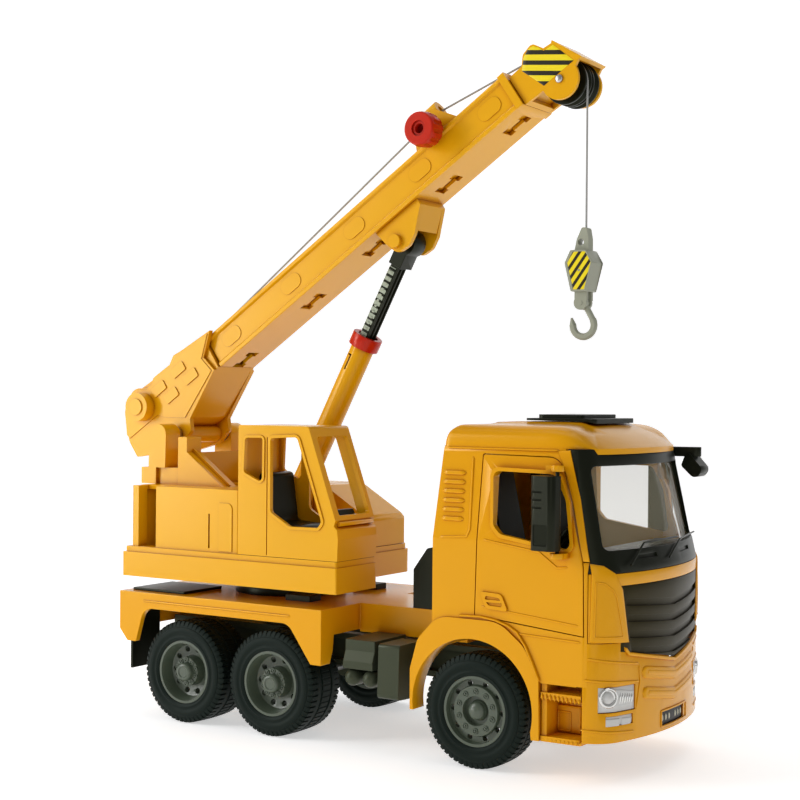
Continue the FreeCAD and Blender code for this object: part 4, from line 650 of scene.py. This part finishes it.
RIB_TOP_Z, RIB_PITCH = 137.9, 4.3
STEP_WALL_DEPTH = -13.5
WING_LIP = [(77.0, 71.4), (89.1, 71.8), (97.0, 70.8), (103.6, 68.8), (108.4, 66.1), (112.5, 60.5),
            (116.0, 53.6), (120.0, 44.6)]
SCREEN_PILLAR = [(126.4, 149.4), (132.4, 149.8), (138.6, 128.0), (144.2, 100.6), (141.2, 100.6),
                 (135.4, 126.0), (129.0, 144.5)]
side_meshes = []
for far in (False, True):
    look = {"flip": far, "far": far}
    for k in range(6):
        z = RIB_TOP_Z - RIB_PITCH * k
        side_meshes.append(bar("rib", [(66.4, z), (79.3, z)], on_side, 1.15, 1.0, **look))
    side_meshes.append(bar("pillar", [(82.3, 146.0), (82.4, 112.0), (80.8, 108.4), (66.0, 107.4)], on_side,
                           0.6, 0.45, **look))
    side_meshes.append(bar("gutter", [(67.5, 149.6), (127.0, 149.6)], on_side, 0.55, 0.9, floor=-0.4, **look))
    side_meshes.append(bar("wing_lip", WING_LIP, on_side, 0.6, 1.35, **look))
    side_meshes.append(field("screen_pillar", SCREEN_PILLAR, on_side, lift=0.35, rim=0.5, **look))
    side_meshes.append(bar("skirt_edge", [(107.9, 65.6), (140.6, 64.4)], on_side, 0.5, 0.5, **look))
    for k in range(10):
        x = 121.2 + 2.05 * k
        side_meshes.append(bar("tooth", [(x, 36.6), (x, 40.2 - 0.1 * k)], on_side, 0.55, 0.8, **look))
        side_meshes.append(bar("tread", [(x, 17.9), (x + 1.2, 20.0)], on_side, 0.5, 0.5, floor=-0.4, **look))
    step_box = [(121.0, 20.6), (121.0, 33.0), (134.6, 33.0), (134.6, 20.6)]
    inner_box = [(123.4, 21.7), (123.4, 30.1), (129.6, 30.1), (129.6, 21.7)]
    side_meshes.append(field("step_box", step_box, on_side, lift=1.6, floor=STEP_WALL_DEPTH, **look))
    side_meshes.append(bar("step_panel", inner_box, on_side, 0.45, 0.5, floor=STEP_WALL_DEPTH + 1.6,
                           closed=True, **look))
made("cab_side_mouldings", side_meshes, YELLOW, "body_yellow", "root")
for far, door in ((False, "near_door"), (True, "far_door")):
    belt = [(89.4, 107.6), (118.9, 103.5), (128.0, 97.0), (134.0, 97.5)]
    lines = [bar("belt", belt, on_side, 0.5, 0.45, flip=far, far=far),
             bar("foot", [(88.6, 76.6), (139.4, 71.6)], on_side, 0.45, 0.35, flip=far, far=far)]
    made(door + "_lines", lines, YELLOW, "body_yellow", door)

# ---------------------------------------------------------------- cab roof
# One yellow moulding with softly rounded edges.  It slopes gently down to the visor in front, and a raised
# tier runs along the middle under the hatch.
ROOF_MIDDLE_X, ROOF_HALF_X, ROOF_HALF_Y = 107.6, 42.1, 52.9
ROOF_SQUARE_REAR, ROOF_SQUARE_FRONT = 36.0, 7.0
ROOF_EDGE_Z, ROOF_TOP_Z, ROOF_SKIRT = 150.4, 162.0, 2.6


def roof_points(angle, share):
    """Places on the roof for an angle round its plan and a share of the way from its middle to its edge.

    The plan is a superellipse bowed forwards like the nose.  The height climbs with the inset d from the
    edge: as the quarter ellipse (1 - (1 - d / run)^2)^(1/2) at the back and sides, and over a longer run as
    1 - (1 - d / run)^1.7 towards the visor.
    """
    c, s = np.cos(angle), np.sin(angle)
    power = 2 / np.where(c > 0, ROOF_SQUARE_FRONT, ROOF_SQUARE_REAR)
    ex = np.sign(c) * np.abs(c) ** power
    ey = np.sign(s) * np.abs(s) ** power
    front = np.where(c > 0, c ** 2, 0.0)
    y = ROOF_HALF_Y * share * ey
    bow = y ** 2 / (2 * FRONT_R) * (0.5 + 0.5 * ex * share)
    x = ROOF_MIDDLE_X + ROOF_HALF_X * share * ex - bow
    inset = (1 - share) * (ROOF_HALF_Y - (ROOF_HALF_Y - ROOF_HALF_X) * c ** 2)
    gentle = 1 - (1 - np.clip(inset / 29.0, 0, 1)) ** 1.7
    edge_run = 9.0 - 2.5 * np.clip(-c, 0, 1)
    quarter = np.sqrt(1 - (1 - np.clip(inset / edge_run, 0, 1)) ** 2)
    round_edge = quarter * 0.92 + 0.08 * np.clip(inset / 26.0, 0, 1)
    climb = round_edge + (gentle - round_edge) * np.clip(1.35 * front, 0, 1)
    tier = 0.9 * np.clip((np.abs(y) - 24.0) / 2.2, 0, 1) * np.clip(climb * 3 - 1.5, 0, 1)
    z = ROOF_EDGE_Z + (ROOF_TOP_Z - ROOF_EDGE_Z) * climb - tier
    return at(np.stack([x, y, z], axis=-1))


ROOF_SHARES = np.concatenate([1 - 0.25 * np.linspace(0, 1, 26) ** 2, 1 - np.linspace(0.27, 0.98, 24)])
roof_angle = np.linspace(0, 2 * math.pi, 288, endpoint=False) + 0.001
roof_rows = roof_points(roof_angle[None, :], ROOF_SHARES[:, None])
roof_skirt = roof_rows[:1] - np.array([0, 0, ROOF_SKIRT * MM])
roof_mesh = grid_mesh("roof", np.concatenate([roof_skirt, roof_rows]), around=True)
made("cab_roof_cap", [roof_mesh], YELLOW, "body_yellow", "root", "cab_roof")

# ---------------------------------------------------------------- lift rod
# The black rod carries a pale toothed rack on its near and back faces.  A latch at the collar would click
# over its teeth as the boom is lifted.
LIFT_FOOT = at((-62.5, 0.0, 112.0))
LIFT_HEAD = on_boom((174.8, 0.0, 4.9))
LIFT_REACH = float(np.linalg.norm(LIFT_HEAD - LIFT_FOOT)) / MM
LIFT_AXIS = (LIFT_HEAD - LIFT_FOOT) / (LIFT_REACH * MM)
LIFT_FRONT = np.array([LIFT_AXIS[2], 0.0, -LIFT_AXIS[0]])
ROD_LOW, ROD_HIGH, ROD_PITCH = LIFT_REACH - 62.0, LIFT_REACH - 14.5, 3.3
RACK_HALF, RACK_NEAR = 2.8, 3.6


def on_rod_near(x, z, lift):
    """Places on the rod's near face: x towards its front, z up along it."""
    return LIFT_FOOT + MM * (np.multiply.outer(x + 0 * lift, LIFT_FRONT)
                             + np.multiply.outer(z + 0 * lift, LIFT_AXIS)
                             - np.multiply.outer(RACK_NEAR + lift + 0 * x, np.array([0.0, 1.0, 0.0])))


def on_rod_back(y, z, lift):
    """Places on the rod's back face: y across it, z up along it."""
    return LIFT_FOOT + MM * (np.multiply.outer(y + 0 * lift, np.array([0.0, 1.0, 0.0]))
                             + np.multiply.outer(z + 0 * lift, LIFT_AXIS)
                             - np.multiply.outer(RACK_HALF + lift + 0 * y, LIFT_FRONT))


RACK = moulded("rack_abs", (0.36, 0.40, 0.30), rough=0.3, gloss=0.4)
rack_meshes = [field("strip", [(-2.8, ROD_LOW), (1.2, ROD_LOW), (1.2, ROD_HIGH), (-2.8, ROD_HIGH)],
                     on_rod_near, lift=0.25, rim=0.2, step=3.0),
               field("back", [(-3.6, ROD_LOW), (3.4, ROD_LOW), (3.4, ROD_HIGH), (-3.6, ROD_HIGH)],
                     on_rod_back, lift=0.25, rim=0.2, step=3.0, flip=True)]
for k in range(int((ROD_HIGH - ROD_LOW) / ROD_PITCH)):
    z = ROD_LOW + 1.6 + ROD_PITCH * k
    rack_meshes.append(bar("tooth", [(-2.5, z), (1.0, z + 0.5)], on_rod_near, 0.8, 0.5, floor=0.25))
    rack_meshes.append(bar("tooth", [(-3.2, z), (3.0, z)], on_rod_back, 0.8, 0.9, floor=0.25, flip=True))
made("lift_rack", rack_meshes, RACK, "black_plastic", "lift_ram")

# ---------------------------------------------------------------- striped labels
# Thin printed labels: level yellow and black bands on both cheeks of the boom's head, slanted ones on both
# faces of the hook block, each block label inside a narrow raised rim.


def banded(name, slope, start, pitch, dark):
    """Yellow and black bands: dark where (z - slope x - start) / pitch has a fraction below dark."""
    net = Net(name)
    parts = net.tree.nodes.new("ShaderNodeSeparateXYZ")
    net.feed(parts.inputs[0], net.place)
    x, z = Wire(net, parts.outputs[0]), Wire(net, parts.outputs[2])
    phase = (z * (1000.0 / pitch)) - (x * (1000.0 * slope / pitch)) + (100.0 - start / pitch)
    share = phase.maths("FRACT", phase)
    wear = net.noise(900.0, 2.0)
    yellow = net.mix(wear, (0.86, 0.66, 0.006, 1.0), (0.90, 0.72, 0.012, 1.0))
    colour = net.mix(share.above(dark), (0.018, 0.015, 0.006, 1.0), yellow)
    net.finish(bump=wear, strength=0.05, distance=0.00005, Base_Color=colour, Roughness=wear * 0.1 + 0.28)
    net.shader.inputs["Specular IOR Level"].default_value = 0.3
    return net.material


HEAD_HALF_Y = 13.6
HEAD_LABEL = [(284.2, 34.4), (288.0, 36.2), (291.2, 35.8), (293.2, 33.2), (294.4, 30.0), (300.0, 29.1),
              (304.3, 15.6), (285.2, 15.8), (279.9, 29.6)]


def on_cheek(s, n, lift, far=False):
    """Places on a cheek of the boom's head, from stations along the boom and up from its underside line."""
    y = (HEAD_HALF_Y + lift) * (1 if far else -1)
    return on_boom(np.stack([s, y + 0 * s, n + 0 * s], axis=-1))


LEVEL_BANDS = banded("level_bands", -0.1085, 335.35, 5.03, 0.44)
head_labels = [field("label", HEAD_LABEL, on_cheek, lift=0.15, rim=0.1, step=2.0, flip=far, far=far)
               for far in (False, True)]
made("head_labels", head_labels, LEVEL_BANDS, "crane_yellow", "jib")
PIN_END = [(1.9, 0.3), (1.9, 0.9), (1.6, 1.15), (0.9, 1.3), (0.01, 1.35)]
made("sheave_pin_ends", [dome("end", PIN_END, SHEAVE, on_cheek, flip=far, far=far) for far in (False, True)],
     STEEL, "steel", "jib")

BLOCK_X, BLOCK_MID_Z, BLOCK_TOP_Z, BLOCK_FOOT_Z = 114.75, 238.5, 244.6, 224.6
BLOCK_MIDDLE_Y, BLOCK_HALF_Y = -4.0, 6.0


def on_block(x, z, lift, far=False):
    """Places on a face of the hook block."""
    y = BLOCK_MIDDLE_Y + (BLOCK_HALF_Y + lift) * (1 if far else -1)
    return at(np.stack([x, y + 0 * x, z + 0 * x], axis=-1))


def hexagon(inset):
    """The block's outline, moved in by this much."""
    return [(BLOCK_X + side * (half - inset), z) for side, half, z in (
        (-1, 4.0, BLOCK_TOP_Z - inset), (1, 4.0, BLOCK_TOP_Z - inset), (1, 7.2, BLOCK_MID_Z),
        (1, 3.7, BLOCK_FOOT_Z + inset), (-1, 3.7, BLOCK_FOOT_Z + inset), (-1, 7.2, BLOCK_MID_Z))]


SLANTED_BANDS = banded("slanted_bands", 1.35, 80.96, 5.7, 0.45)
block_labels = [field("label", hexagon(0.8), on_block, lift=0.12, rim=0.1, step=2.0, flip=far, far=far)
                for far in (False, True)]
made("block_labels", block_labels, SLANTED_BANDS, "silver_plastic", "block")
RIVET, RIVET_PLACE = [(0.55, 0.0), (0.5, 0.3), (0.01, 0.4)], (BLOCK_X, 234.8)
block_rims = [bar("rim", hexagon(0.55), on_block, 0.42, 0.4, closed=True, flip=far, far=far)
              for far in (False, True)]
block_rims += [dome("rivet", RIVET, RIVET_PLACE, on_block, 0.1, 12, flip=far, far=far)
               for far in (False, True)]
made("block_rims", block_rims, SILVER, "silver_plastic", "block")

# ---------------------------------------------------------------- studio
# A white paper sweep that curves up behind, with a soft key light and a low glare panel from the left, a weak
# fill from the right and a wide soft light overhead.


def backdrop():
    """Floor running back into an upright wall: z is 0, then a quarter circle, then straight up."""
    width = np.linspace(-3.0, 3.0, 2)
    bend = np.linspace(0, math.pi / 2, 24)
    reach, radius = 1.6, 0.8
    flat = np.stack([np.array([-3.0, reach]), np.zeros(2)], -1)
    curve = np.stack([reach + radius * np.sin(bend[1:]), radius * (1 - np.cos(bend[1:]))], -1)
    wall = np.array([[reach + radius, 3.5]])
    line = np.concatenate([flat, curve, wall])
    far = np.array([-math.sin(TURN), math.cos(TURN), 0])
    points = (line[:, None, :1] * far + width[None, :, None] * level
              + line[:, None, 1:] * np.array([0, 0, 1.0]))
    return link("backdrop", grid_mesh("backdrop", points[:, ::-1]))


def paper():
    net = Net("white_paper")
    net.finish(Base_Color=(0.90, 0.90, 0.90, 1.0), Roughness=0.9)
    net.shader.inputs["Emission Color"].default_value = (1.0, 1.0, 1.0, 1.0)
    net.shader.inputs["Emission Strength"].default_value = 0.52
    net.shader.inputs["Specular IOR Level"].default_value = 0.1
    return net.material


stage = backdrop()
stage.data.materials.append(paper())


def soft_light(name, place, target, size, power):
    """A rectangular soft light at a place, turned so that it shines at the target."""
    lamp = bpy.data.lights.new(name, "AREA")
    lamp.shape = "RECTANGLE"
    lamp.size, lamp.size_y = size
    lamp.energy = power
    thing = link(name, lamp)
    place = np.asarray(place, float)
    back = place - np.asarray(target, float)
    back /= np.linalg.norm(back)
    right = np.cross([0, 0, 1.0], back)
    right /= np.linalg.norm(right)
    top = np.cross(back, right)
    thing.matrix_world = Matrix([[right[i], top[i], back[i], place[i]] for i in range(3)] + [[0, 0, 0, 1]])
    return thing


soft_light("key", (-0.95, -0.80, 0.80), (-0.05, 0, 0.16), (0.7, 0.8), 5.6)
soft_light("fill", (1.2, -1.5, 0.7), (0.1, 0, 0.10), (0.7, 1.0), 2.2)
soft_light("top", (0.1, 0.2, 1.6), (0, 0, 0.1), (1.4, 1.0), 5.0)
soft_light("glare", (-0.95, -0.89, 0.30), (-0.1, 0, 0.12), (0.30, 0.7), 4.5)
world = bpy.data.worlds.new("studio")
world.use_nodes = True
world.node_tree.nodes["Background"].inputs["Color"].default_value = (1.0, 1.0, 1.0, 1.0)
world.node_tree.nodes["Background"].inputs["Strength"].default_value = 0.27
bpy.context.scene.world = world
bpy.context.scene.view_settings.view_transform = "Standard"
